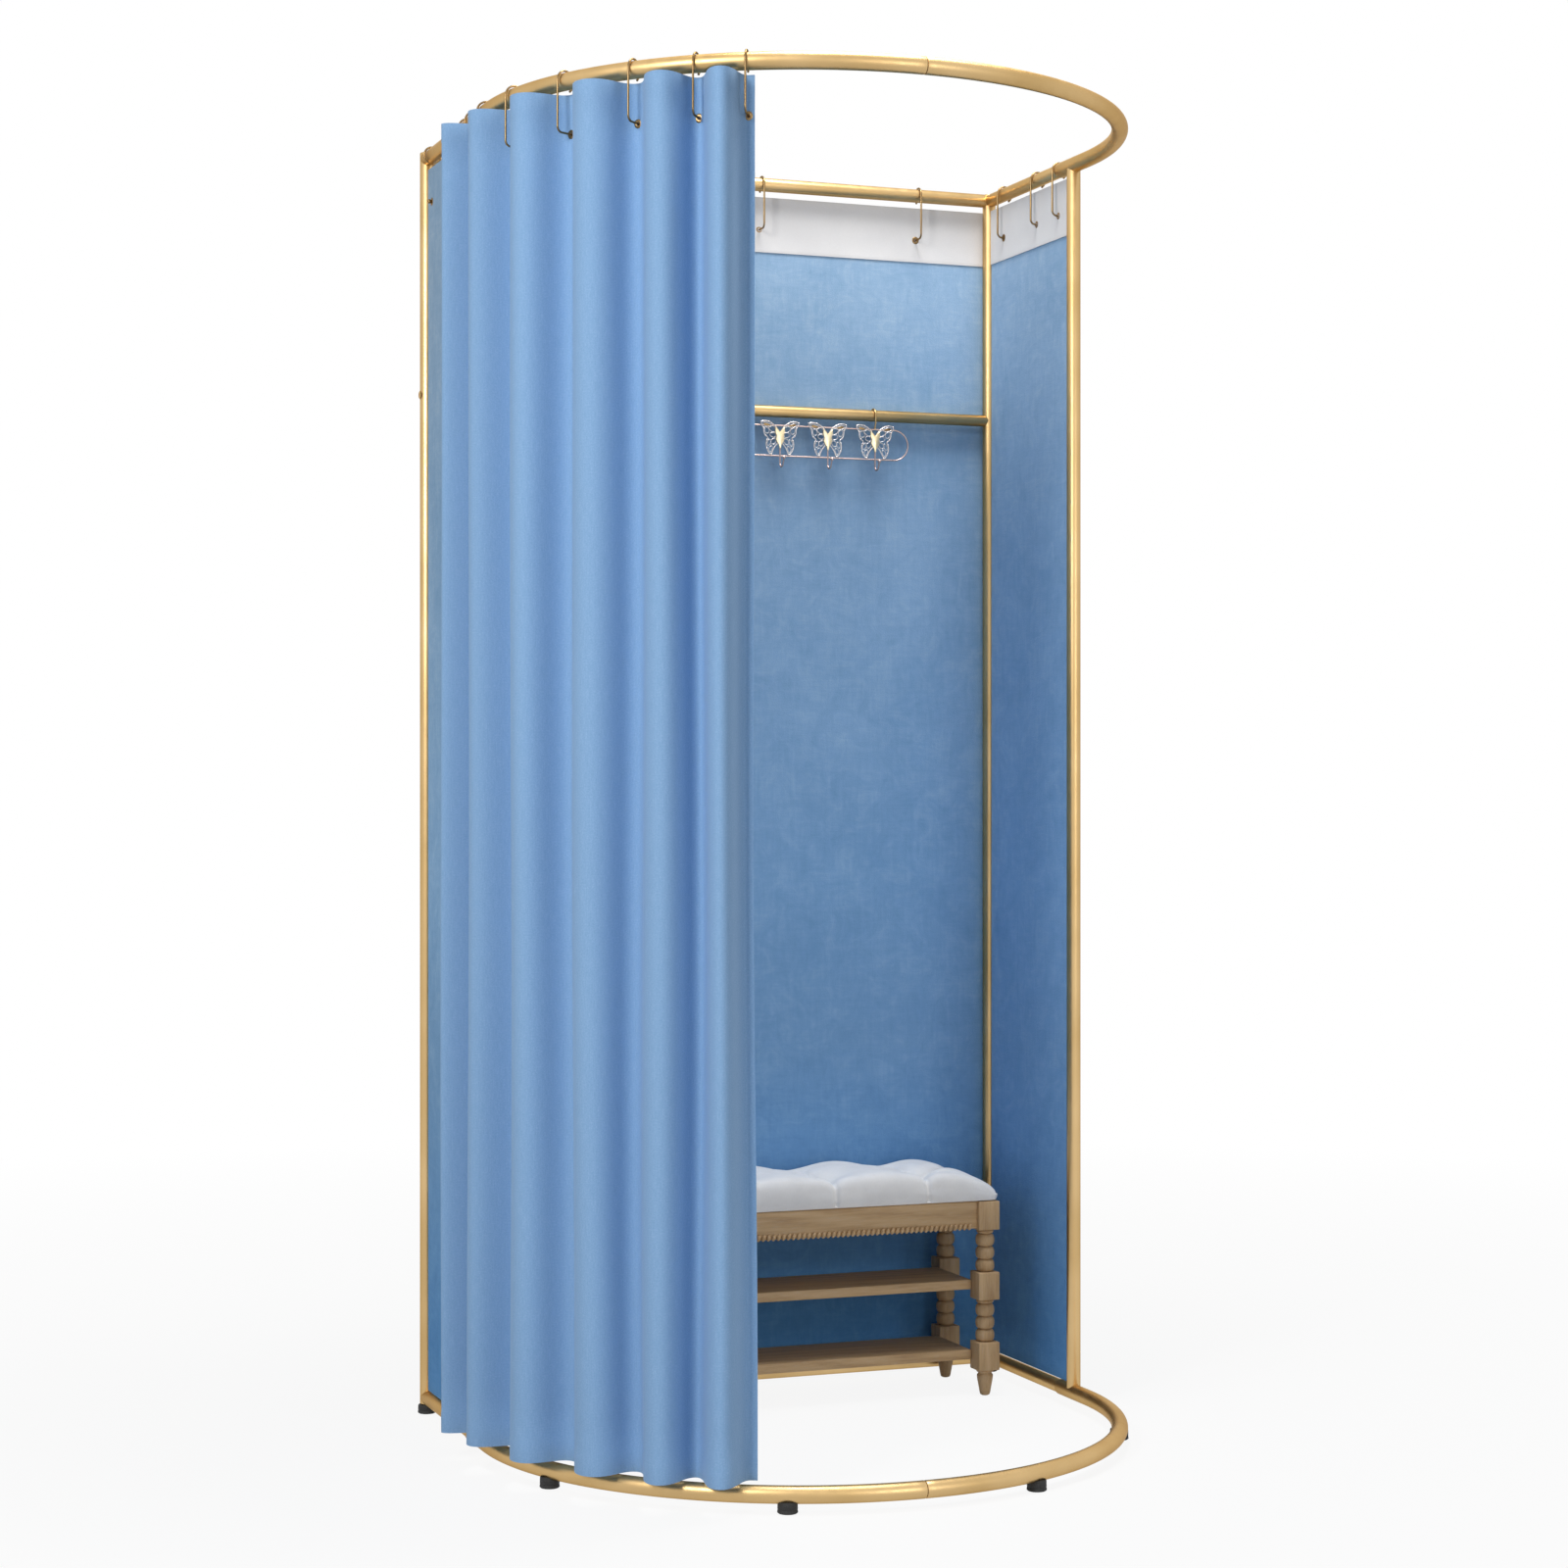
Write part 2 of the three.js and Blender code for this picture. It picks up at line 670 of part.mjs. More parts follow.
// Strips of cloth between neighbouring hooks, with a plain hem past the first and the last of them
function makeCurtainStrips(travels) {
  const last = travels.length - 1;
  for (let index = 0; index < last; index += 1) {
    const is_return = index === 0;
    const is_leading = index === last - 1;
    const from = travels[index] + (is_return ? 0 : strip_gap / 2);
    const to = travels[index + 1] - (is_leading ? 0 : strip_gap / 2);
    const first_reach = is_return ? return_edge_reach : curtain_valley_reach;
    const line = foldLine(from, to, first_reach, is_return ? return_ridge_reach : curtain_ridge_reach);
    if (is_return) line.unshift([from - curtain_hem, first_reach]);
    if (is_leading) line.push([to + curtain_hem, curtain_valley_reach]);
    const eyelets = [
      curtainEyelet(travels[index], first_reach),
      curtainEyelet(travels[index + 1], curtain_valley_reach),
    ];
    const name = is_return ? 'curtain_return' : `curtain_fold_${index}`;
    addPiece(name, shaped([clothStrip(line)], eyelets), materials.curtain);
  }
}

function makeCurtain() {
  const travels = curtainHookTravels();
  makeCurtainStrips(travels);
  const carrier = arc_radius + curtain_ring_slack;
  const inward = wireHook(carrier, 1, curtain_valley_reach);
  const outward = wireHook(carrier, 1, return_edge_reach);
  travels.forEach((travel, index) => {
    const name = index === 0 ? 'curtain_hook_return' : `curtain_hook_${index}`;
    hangHook(name, index === 0 ? outward : inward, ringPoint(travel, 0, top_level),
      outwardAngle(travel));
  });
}

// Half outline of a butterfly's wings and the openings of its filigree, as shares of half the width
// and of the height, measured from the middle of the body
const wing_outline_share = [
  [0, 0.16], [0.2, 0.32], [0.6, 0.5], [1, 0.48], [0.9, 0.24], [0.82, 0.04],
  [0.64, -0.04], [0.74, -0.2], [0.64, -0.42], [0.44, -0.48], [0.24, -0.26], [0, -0.14],
];
const wing_opening_share = [
  [[0.28, 0.22], [0.56, 0.38], [0.84, 0.4], [0.62, 0.2]],
  [[0.28, 0.06], [0.5, 0.1], [0.76, 0.2], [0.66, 0.04]],
  [[0.28, -0.06], [0.54, -0.14], [0.6, -0.3], [0.4, -0.34]],
];

function butterflyPoint([across, up], hand) {
  return new THREE.Vector2(hand * across * butterfly_width / 2, up * butterfly_height);
}

// Flat pierced plate that stands upright and faces the front of the booth
function butterflyPlate() {
  const right = wing_outline_share.map((share) => butterflyPoint(share, 1));
  const left = wing_outline_share.slice(1, -1).map((share) => butterflyPoint(share, -1));
  const shape = new THREE.Shape([...right, ...left.reverse()]);
  for (const hand of [-1, 1]) {
    for (const opening of wing_opening_share) {
      const points = opening.map((share) => butterflyPoint(share, hand));
      shape.holes.push(new THREE.Path(hand > 0 ? points.reverse() : points));
    }
  }
  const geometry = new THREE.ExtrudeGeometry(shape, {
    depth: butterfly_thickness, bevelEnabled: false, curveSegments: 1,
  });
  geometry.translate(0, 0, -butterfly_thickness / 2);
  return geometry.rotateX(Math.PI / 2);
}

function butterflyBody() {
  const geometry = new THREE.SphereGeometry(1 / 2, ball_columns, ball_rows);
  return geometry.scale(body_width, body_thickness, body_height);
}

// Straight wire and upturned end below a butterfly
function rackHook() {
  const path = new THREE.Path();
  const bend_level = rack_hook_bend - rack_hook_drop;
  path.moveTo(0, 0);
  path.lineTo(0, bend_level);
  path.absarc(-rack_hook_bend, bend_level, rack_hook_bend, 0,
    -Math.PI * rack_hook_turn_share, true);
  const end = path.getPoint(1);
  const lift = rack_hook_reach - rack_hook_bend;
  path.lineTo(end.x - lift / 2, end.y + lift);
  const tip = path.getPoint(1);
  const wire = wireAlong(path, rack_wire_diameter, rack_turn_step);
  return shaped([wire, wireBall(tip.x, tip.y, rack_ball_diameter)]).rotateZ(Math.PI / 2);
}

// Half of the rack's long wire loop: one straight stretch and the half round that follows it
function rackLoopHalf() {
  const end_radius = rack_drop / 2;
  const straight_end = rack_half_length - end_radius;
  const path = new THREE.Path();
  path.moveTo(-straight_end, end_radius);
  path.lineTo(straight_end, end_radius);
  path.absarc(straight_end, 0, end_radius, Math.PI / 2, -Math.PI / 2, true);
  return wireAlong(path, rack_wire_diameter, rack_turn_step);
}

// Wire loop over the middle bar that carries the rack
function rackHanger() {
  const wire_radius = rack_wire_diameter / 2;
  const ring = mid_bar_diameter / 2 + hook_ring_clearance + wire_radius;
  const drop = mid_bar_height - rack_top_height;
  const path = new THREE.Path();
  path.absarc(0, 0, ring, -Math.PI * hook_ring_open_share, Math.PI, false);
  path.lineTo(-ring, -drop / 2);
  path.lineTo(-rack_setback, -drop);
  return wireAlong(path, rack_wire_diameter, hook_turn_step).rotateZ(Math.PI / 2);
}

// Long wire loop with pierced butterflies, each with a hook, welded into one piece
function makeRack() {
  const wire_radius = rack_wire_diameter / 2;
  const middle_level = rack_top_height - rack_drop / 2;
  const plane = side_length - rack_setback;
  const joined = [];
  for (const turn of [0, Math.PI]) {
    joined.push(rackLoopHalf().rotateY(turn).translate(rack_centre, plane, middle_level));
  }
  const first = -(butterfly_count - 1) / 2;
  const front = plane - wire_radius;
  for (let index = 0; index < butterfly_count; index += 1) {
    const x = rack_centre + (first + index) * butterfly_pitch;
    const level = middle_level + butterfly_rise;
    joined.push(butterflyPlate().translate(x, front, level));
    joined.push(butterflyBody().translate(x, front, level));
    joined.push(rackHook().translate(x, front, level));
  }
  for (const share of hanger_places_share) {
    const x = rack_centre - share * first * butterfly_pitch;
    joined.push(rackHanger().translate(x, side_length, mid_bar_height));
  }
  addPiece('butterfly_rack', shaped(joined), materials.rose);
}

// Block with small chamfers round its top and bottom
function legBlock(low, height) {
  const half = leg_block / 2;
  const inner = half - block_chamfer;
  const shape = new THREE.Shape([
    new THREE.Vector2(-inner, -inner),
    new THREE.Vector2(inner, -inner),
    new THREE.Vector2(inner, inner),
    new THREE.Vector2(-inner, inner),
  ]);
  const geometry = new THREE.ExtrudeGeometry(shape, {
    depth: height - block_chamfer * 2,
    bevelEnabled: true,
    bevelThickness: block_chamfer,
    bevelSize: block_chamfer,
    bevelSegments: 1,
  });
  return geometry.translate(0, 0, low + block_chamfer);
}

// Half of a turned leg's profile: rows of beads with narrow necks between them
function beadRun(low) {
  const neck = bead_neck_diameter / 2;
  const bead = bead_diameter / 2;
  const pitch = (bead_run_height - leg_collar_height) / beads_in_run;
  const points = [];
  for (let index = 0; index < beads_in_run; index += 1) {
    const start = low + pitch * index;
    points.push([neck, start], [bead, start + pitch * bead_flank_share]);
    points.push([bead, start + pitch * (1 - bead_flank_share)]);
  }
  const top = low + bead_run_height - leg_collar_height;
  points.push([neck, top], [bead, top + leg_collar_height / 2], [neck, top + leg_collar_height]);
  return points;
}

// Turned leg with three square blocks and a tapered foot
function benchLeg(x, y) {
  const low_block = bench_foot_height;
  const low_beads = low_block + low_block_height;
  const mid_block = low_beads + bead_run_height;
  const high_beads = mid_block + mid_block_height;
  const top_block = bench_top - top_block_height;
  const tip = foot_tip_diameter / 2;
  const foot = foot_top_diameter / 2;
  const core = bead_neck_diameter / 2;
  const stretch = (top_block - high_beads) / bead_run_height;
  const profile = [
    [0, 0],
    [tip / 2, 0],
    [tip, tip / 2],
    [foot, bench_foot_height * foot_shoulder_share],
    [core, bench_foot_height * foot_neck_share],
    [core, low_beads],
    ...beadRun(low_beads),
    [core, high_beads],
    ...beadRun(0).map(([radius, height]) => [radius, high_beads + height * stretch]),
    [core, top_block + block_chamfer * 2],
    [0, top_block + block_chamfer * 2],
  ];
  const distinct = profile.filter((point, index) => index === 0 || !sameSpot(point, profile[index - 1]));
  const leg = shaped([
    turned(distinct, 0, 0, leg_sides),
    legBlock(low_block, low_block_height),
    legBlock(mid_block, mid_block_height),
    legBlock(top_block, top_block_height),
  ]);
  return leg.translate(x, y, 0);
}

function sameSpot(one, other) {
  return Math.hypot(one[0] - other[0], one[1] - other[1]) < merge_distance;
}

// Four aprons round a seat board, notched at the corners for the legs
function seatFrame() {
  const half_block = leg_block / 2 + seat_clearance;
  const left = -bench_half_span - leg_block / 2 + apron_setback;
  const right = -left;
  const front = bench_front - leg_block / 2 + apron_setback;
  const back = bench_back + leg_block / 2 - apron_setback;
  const low = bench_top - apron_height;
  const inner = apron_thickness;
  const outer_box = box([left, front, low], [right, back, bench_top]);
  const hollow = box([left + inner, front + inner, low - cut_overrun],
    [right - inner, back - inner, bench_top - seat_board_thickness]);
  const notches = [];
  for (const x of [-bench_half_span, bench_half_span]) {
    for (const y of [bench_front, bench_back]) {
      notches.push(box([x - half_block, y - half_block, low - cut_overrun],
        [x + half_block, y + half_block, bench_top + cut_overrun]));
    }
  }
  return shaped([outer_box], [hollow, ...notches]);
}

function shelf(level) {
  const half = bench_half_span - leg_block / 2 - seat_clearance;
  const front = bench_front - leg_block / 2 + shelf_setback;
  const back = bench_back + leg_block / 2 - shelf_setback;
  return box([-half, front, level - shelf_thickness / 2], [half, back, level + shelf_thickness / 2]);
}

// Depth of the buttoned dimples at a place on the cushion's top, as a share of the full dimple
function tuftShare(x, y, half_length, half_depth) {
  let share = 0;
  const pitch = half_length * 2 / tuft_columns;
  for (let column = 0; column < tuft_columns; column += 1) {
    const tuft_x = (column + 1 / 2) * pitch - half_length;
    const tuft_y = (column % 2 === 0 ? 1 : -1) * tuft_row_share * half_depth;
    const distance = Math.hypot(x - tuft_x, y - tuft_y);
    share = Math.max(share, Math.exp(-((distance / tuft_reach) ** 2)));
  }
  return share;
}

// Cushion's height over its base at a place: a crowned top with rounded edges and sewn tufts
function cushionHeight(x, y, half_length, half_depth) {
  const edge = cushion_thickness * cushion_edge_share;
  const across = 1 - (x / half_length) ** cushion_end_squareness;
  const along = 1 - (y / half_depth) ** cushion_side_squareness;
  const crown = Math.sqrt(Math.max(across, 0)) * Math.sqrt(Math.max(along, 0));
  const height = edge + (cushion_thickness - edge) * crown;
  return height - tuft_depth * tuftShare(x, y, half_length, half_depth) * crown;
}

// Closed form: a top that follows the crown and tufts, sides that draw in, and a flat base
function cushion() {
  const half_length = bench_half_span + leg_block / 2 + cushion_overhang;
  const half_depth = (bench_back - bench_front) / 2 + leg_block / 2 + cushion_overhang;
  const middle = (bench_front + bench_back) / 2;
  const base = bench_top + seat_clearance;
  const positions = [];
  const index = [];
  const row_length = cushion_columns + 1;
  const layer = row_length * (cushion_rows + 1);
  for (const top of [true, false]) {
    for (let row = 0; row <= cushion_rows; row += 1) {
      for (let column = 0; column <= cushion_columns; column += 1) {
        const across = column / cushion_columns * 2 - 1;
        const along = row / cushion_rows * 2 - 1;
        const pinch = cushion_side_pinch * (top ? 0 : 1);
        const bow_x = 1 - cushion_end_bow_share * (1 - along ** 2);
        const bow_y = 1 - cushion_side_bow_share * (1 - across ** 2);
        const x = across * (half_length - pinch) * bow_x;
        const y = along * (half_depth - pinch) * bow_y;
        const height = top ? cushionHeight(across * half_length, along * half_depth,
          half_length, half_depth) : 0;
        positions.push(x, middle + y, base + height);
      }
    }
  }
  for (let row = 0; row < cushion_rows; row += 1) {
    for (let column = 0; column < cushion_columns; column += 1) {
      const corner = row * row_length + column;
      index.push(corner, corner + 1, corner + row_length + 1);
      index.push(corner, corner + row_length + 1, corner + row_length);
      index.push(layer + corner, layer + corner + row_length + 1, layer + corner + 1);
      index.push(layer + corner, layer + corner + row_length, layer + corner + row_length + 1);
    }
  }
  for (const [start, step, count] of cushionRims(row_length)) {
    for (let number = 0; number < count; number += 1) {
      const here = start + step * number;
      const next = here + step;
      index.push(here, layer + here, layer + next, here, layer + next, next);
    }
  }
  const geometry = new THREE.BufferGeometry();
  geometry.setAttribute('position', new THREE.Float32BufferAttribute(positions, 3));
  geometry.setIndex(index);
  geometry.computeVertexNormals();
  return geometry;
}

// The four edges of the cushion's grid, walked so that its sides face outwards
function cushionRims(row_length) {
  const last = row_length * cushion_rows;
  return [
    [0, 1, cushion_columns],
    [cushion_columns, row_length, cushion_rows],
    [last + cushion_columns, -1, cushion_columns],
    [last, -row_length, cushion_rows],
  ];
}

function makeBench() {
  const low_shelf = bench_foot_height + low_block_height / 2;
  const high_shelf = bench_foot_height + low_block_height + bead_run_height + mid_block_height / 2;
  for (const [side, hand] of [['left', -1], ['right', 1]]) {
    addPiece(`bench_leg_front_${side}`, benchLeg(hand * bench_half_span, bench_front), materials.wood);
    addPiece(`bench_leg_back_${side}`, benchLeg(hand * bench_half_span, bench_back), materials.wood);
  }
  addPiece('bench_seat_frame', seatFrame(), materials.wood);
  addPiece('bench_shelf_low', shelf(low_shelf), materials.wood);
  addPiece('bench_shelf_high', shelf(high_shelf), materials.wood);
  addPiece('bench_cushion', cushion(), materials.cushion);
}

makeFrontFrame();
makeBackFrame();
makeBackPanel();
makeSidePanel('right', 1, right_hook_shares);
makeSidePanel('left', -1, left_hook_shares);
makePanelHooks();
makeCurtain();
makeRack();
makeBench();

// The origin is on the floor under the middle of the whole booth
const extent = new THREE.Box3().setFromObject(booth);
booth.position.set(-(extent.min.x + extent.max.x) / 2, -(extent.min.y + extent.max.y) / 2, 0);

export default booth;
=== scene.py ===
import math

import bpy
from mathutils import Matrix, Vector


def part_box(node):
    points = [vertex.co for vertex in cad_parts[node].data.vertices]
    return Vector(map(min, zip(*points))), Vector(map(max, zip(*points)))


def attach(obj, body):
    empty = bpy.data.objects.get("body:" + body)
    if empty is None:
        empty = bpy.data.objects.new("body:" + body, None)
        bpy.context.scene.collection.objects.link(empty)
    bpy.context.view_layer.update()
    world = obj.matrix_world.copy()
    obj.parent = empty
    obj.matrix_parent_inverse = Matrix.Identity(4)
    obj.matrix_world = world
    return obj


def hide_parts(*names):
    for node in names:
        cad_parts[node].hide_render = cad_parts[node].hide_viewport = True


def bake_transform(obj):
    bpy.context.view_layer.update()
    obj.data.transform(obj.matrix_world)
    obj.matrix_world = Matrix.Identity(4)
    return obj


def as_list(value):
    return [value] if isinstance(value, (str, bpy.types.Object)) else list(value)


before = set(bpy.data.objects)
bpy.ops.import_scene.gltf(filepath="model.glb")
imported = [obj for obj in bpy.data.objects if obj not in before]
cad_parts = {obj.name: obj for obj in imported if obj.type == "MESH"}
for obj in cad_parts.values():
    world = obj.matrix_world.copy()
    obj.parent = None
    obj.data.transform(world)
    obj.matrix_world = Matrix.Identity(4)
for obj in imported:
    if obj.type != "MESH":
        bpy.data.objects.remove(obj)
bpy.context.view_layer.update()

# All sizes are in metres. A profile's points are (radius, height).

# Tube frame
sides = (("left", -1), ("right", 1))
ring_radius = 0.489
side_length = 0.370
front_post_setback = 0.045
arc_diameter = 0.025
tube_diameter = 0.022
mid_bar_diameter = 0.019
arc_tail = 0.090
tail_overlap = 0.04
seam_gap = 0.0006
tube_chamfer = 0.0012
corner_post_chamfer = 0.002
bolt_set_in = 0.0014
bolt_profile = [(0, 0), (0.0064, 0), (0.0064, 0.0006), (0.0052, 0.0013), (0.0022, 0.0013),
                (0.0022, 0.0004), (0, 0.0004)]
arc_foot_grip = 0.0035
corner_foot_height = 0.0138
foot_base = [(0, 0), (0.0128, 0), (0.0144, 0.0014), (0.0141, 0.0042), (0.0135, 0.0052),
             (0.0141, 0.0062)]
foot_crown = [(0.0138, -0.0012), (0.0128, 0), (0, 0)]

# Wire hooks
wire_diameter = 0.003
ring_clearance = 0.0005
curtain_ring_slack = 0.0007
hook_drop = 0.0725
hook_bend_radius = 0.008
hook_ball_diameter = 0.0068
hook_collar_swell = 1.15
hook_tip_overhang = 0.004
hook_open_share = 0.15
back_hook_shares = [-0.732, -0.157, 0.157, 0.732]
right_hook_shares = [0.26, 0.48, 0.83]
left_hook_shares = [0.322, 0.905]
eyelet_profile = [(0.0021, -0.0016), (0.0034, -0.0020), (0.0056, -0.0018), (0.0064, -0.0011),
                  (0.0064, 0.0011), (0.0056, 0.0018), (0.0034, 0.0020), (0.0021, 0.0016)]

# Cloth: hems are (low, high), thicknesses are (plain, hem)
hem_step = 0.001
edge_row = 0.004
edge_column = 0.003
hem_lines = 3
wall_hems = (0.022, 0.012)
band_hems = (0.006, 0.012)
side_hem = 0.010
wall_thicknesses = (0.0012, 0.0015)
band_thicknesses = (0.0008, 0.0011)
back_panel_reach = 0.01355
wall_column, fewest_columns = 0.016, 8
wall_row, fewest_rows = 0.04, 3
ripple_depth = 0.0010
ripples = ((0.5, 11.0, 1.7), (0.3, 23.0, -2.9))

# Curtain
curtain_thicknesses = (0.0012, 0.0022)
curtain_hems = (0.030, 0.028)
curtain_rows = 44
strip_steps = 64
edge_steps = 4
curtain_valley_reach = -0.012
curtain_ridge_reach = 0.050
return_ridge_reach = 0.061
return_edge_reach = 0.026
curtain_edge_hem = 0.012
curtain_free_hem = 0.009
fold_ridge_share = 0.02
fold_flank_share = 0.02
fold_lean_share = 0.11
fold_hang_run = 1.6
fold_drift = 0.004
drift_turns = (3.1, 2.3)
fold_swell = 0.035
swell_turns = (2.2, 1.7)
return_hook_setback = 0.074
curtain_start_setback = 0.005
curtain_hook_shares = [0.139, 0.299, 0.459, 0.583, 0.676]

# Butterfly rack
rack_centre = 0.021
rack_half_length = 0.315
rack_hang = 0.024
rack_drop = 0.050
rack_wire_diameter = 0.0026
rack_setback = 0.007
rack_end_room = 0.060
butterfly_count = 7
butterfly_width = 0.066
butterfly_height = 0.060
butterfly_rise = 0.006
wing_edge_wire = 0.0020
wing_cell_wire = 0.0010
wing_bead = 0.0034
body_plate = (0.0034, 0.0009)
body_stand = 0.0006
leaf_plate = (0.0008, 0.0002)
leaf_middle = (0.66, 0.335)
leaf_scale = (0.82, 0.7)
rack_hook_drop = 0.050
rack_hook_reach = 0.020
rack_hook_bend = 0.008
rack_hook_root = 0.004
rack_hook_turn = math.pi * 0.75
rack_ball_diameter = 0.0062

# Bench
leg_block = 0.037
leg_block_chamfer = 0.0018
leg_overlap = 0.002
leg_foot_profile = [
    (0, 0), (0.0052, 0), (0.0078, 0.0016), (0.0088, 0.0052), (0.0100, 0.0120), (0.0122, 0.0240),
    (0.0132, 0.0310), (0.0130, 0.0335), (0.0112, 0.0355), (0.0108, 0.0372), (0.0135, 0.0385),
    (0.0142, 0.0402), (0.0135, 0.0418), (0.0120, 0.0430), (0, 0.0430)]
bead_diameter = 0.031
bead_neck_diameter = 0.019
leg_collar_height = 0.007
leg_collar_swell = 0.82
beads_in_run = 3
block_heights = [(0.042, 0.088), (0.157, 0.202), (0.271, 0.318)]
apron_thickness = 0.016
apron_chamfer = 0.0012
seat_board_thickness = 0.012
seat_board_inset = 0.001
shelf_chamfer = 0.0022
pearl_width = 0.0068
pearl_height = 0.0112
pearl_pitch = 0.0085
pearl_rise = 0.0034
pearl_stand = 0.0018
pearl_lean = 0.35

# Cushion
tuft_pitch = 0.160
tuft_row_offset = 0.0485
front_tuft_start = -0.350
front_tuft_count = 5
back_tuft_start = -0.209
back_tuft_count = 4
row_dip = 0.0115
row_dip_reach = 0.042
crease_width = 0.0032
crease_depth = 0.0042
crease_overrun = 0.010
crease_corner = 0.045
crease_fall = 0.0076
crease_reach = 0.011
crease_foot = 0.004
crease_spread = 3
crease_longest_share = 0.75
button_fall = 0.0080
button_reach = 0.018
button_seat = 0.006
button_lowest = 0.012
button_profile = [(0, -0.003), (0.0060, -0.003), (0.0078, -0.001), (0.0072, 0.0012),
                  (0.0045, 0.0028), (0, 0.0034)]
end_slope_run = 0.115
end_fall = 0.037
end_curve = 1.7
side_slope_run = 0.050
side_fall = 0.007
pad_edge = 0.014
pad_foot = 0.003
pad_draw_in = 0.006
pad_top_room = 0.0045
pad_voxel = 0.005
fall_from = 0.2
fall_run = 0.6
pinned_rise = 0.06
pinned_reach = 0.008
pinned_button_rise = 0.3
puff_frames = 20
puff_limit = 0.007

# Studio
room_light = 0.20
floor_size = 40
floor_lift = 0.90
floor_fade = 4.0
sensor_width = 36
focal_pixels = 3096.2
frame_pixels = 1600
camera_yaw = 20.658
camera_left, camera_forward, camera_height = 1.6572, 4.3341, 0.9973

# How finely round forms are divided
tube_sides = 36
wire_sides = 12
arc_steps = 56
ring_steps = 30
bend_steps = 10
hook_turn_steps = 16
loop_steps = 24
small_turn_steps = 28
button_steps = 24
bead_facets = (10, 6)
collar_facets = (12, 8)


# Places read from the solids
def box(node):
    low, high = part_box(node)
    return Vector(low), Vector(high)


def box_middle(node):
    low, high = box(node)
    return (low + high) / 2


front_post_middle = box_middle("front_post_right")
booth_x = front_post_middle.x - ring_radius
booth_y = front_post_middle.y - front_post_setback
back_line = booth_y + side_length
base_level = box_middle("base_back_tube").z
top_level = box_middle("top_back_tube").z
mid_bar_level = box_middle("mid_bar").z
eyelet_level = top_level - hook_drop
quarter_arc = ring_radius * math.pi / 2
cloth_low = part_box("curtain_fold_1")[0][2]
cloth_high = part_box("curtain_fold_1")[1][2]
# Travels of the curtain's hooks, from the one behind the left post
curtain_travels = [-(quarter_arc + return_hook_setback), -(quarter_arc + curtain_start_setback),
                   *((share - 1) * quarter_arc for share in curtain_hook_shares)]


def ring_point(travel, reach, height):
    """Place on the ring's plan: travel from the front centre, to the right when positive."""
    hand = -1 if travel < 0 else 1
    along = abs(travel)
    radius = ring_radius + reach
    if along > quarter_arc:
        return Vector((booth_x + hand * radius, booth_y + along - quarter_arc, height))
    angle = along / ring_radius
    return Vector((booth_x + hand * radius * math.sin(angle),
                   booth_y - radius * math.cos(angle), height))


def outward_angle(travel):
    angle = min(abs(travel), quarter_arc) / ring_radius
    return -math.pi / 2 - angle if travel < 0 else angle - math.pi / 2


# Modelling by hand: every helper leaves its piece active, with its place in its mesh
def deselect_all():
    bpy.ops.object.select_all(action="DESELECT")


def pick(*pieces):
    deselect_all()
    for piece in pieces:
        piece.select_set(True)
    bpy.context.view_layer.objects.active = pieces[0]


def rename(piece, name):
    piece.name = name
    piece.data.name = name
    return piece


def take_piece(name):
    piece = rename(bpy.context.object, name)
    bpy.ops.object.transform_apply(location=True, rotation=True, scale=True)
    return piece


def select_whole():
    bpy.ops.mesh.select_all(action="SELECT")


def edit(piece):
    """Opens a piece's mesh, with all of it selected."""
    pick(piece)
    bpy.ops.object.mode_set(mode="EDIT")
    bpy.ops.mesh.select_mode(type="VERT")
    select_whole()


def leave_edit():
    """Turns all faces outward and closes the mesh."""
    select_whole()
    bpy.ops.mesh.normals_make_consistent(inside=False)
    bpy.ops.object.mode_set(mode="OBJECT")


def round_off(piece, degrees=35):
    pick(piece)
    bpy.ops.object.shade_smooth_by_angle(angle=math.radians(degrees))
    return piece


def assign(target, **values):
    for key, value in values.items():
        setattr(target, key, value)


def apply_modifier(piece, kind, **settings):
    pick(piece)
    modifier = piece.modifiers.new(kind.title(), kind)
    assign(modifier, **settings)
    bpy.ops.object.modifier_apply(modifier=modifier.name)


def bevel(piece, width, segments, degrees):
    apply_modifier(piece, "BEVEL", width=width, segments=segments, limit_method="ANGLE",
                   angle_limit=math.radians(degrees))


def join(pieces, name):
    pick(*pieces)
    bpy.ops.object.join()
    return rename(bpy.context.object, name)


def copy_of(piece, name, matrix):
    copied = piece.copy()
    copied.data = piece.data.copy()
    copied.data.transform(matrix)
    bpy.context.collection.objects.link(copied)
    return rename(copied, name)


def discard(*models):
    for model in models:
        bpy.data.objects.remove(model)


def finish_piece(piece, material, body, node=None):
    piece.data.materials.clear()
    piece.data.materials.append(material)
    if body is not None:
        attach(piece, body)
    if node is not None:
        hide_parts(node)


def begin_round(name, place, facing, diameter, ring_sides=wire_sides):
    """Starts a tube or wire with a ring of edges that faces along it."""
    deselect_all()
    turn = Vector(facing).to_track_quat("Z", "Y").to_euler()
    bpy.ops.mesh.primitive_circle_add(
        vertices=ring_sides, radius=diameter / 2, location=place, rotation=turn)
    piece = take_piece(name)
    edit(piece)
    return piece


def run_straight(offset):
    bpy.ops.mesh.extrude_region_move(TRANSFORM_OT_translate={"value": Vector(offset)})


def run_round(centre, axis, angle, steps):
    """Turns anticlockwise about the axis, seen from its tip; Blender's spin goes clockwise."""
    bpy.ops.mesh.spin(steps=steps, angle=-angle, center=centre, axis=axis)


def end_round(piece, chamfer=0.0):
    select_whole()
    bpy.ops.mesh.remove_doubles(threshold=0.000001)
    bpy.ops.mesh.fill_holes(sides=0)
    leave_edit()
    if chamfer:
        bevel(piece, chamfer, 2, 60)
    return round_off(piece)


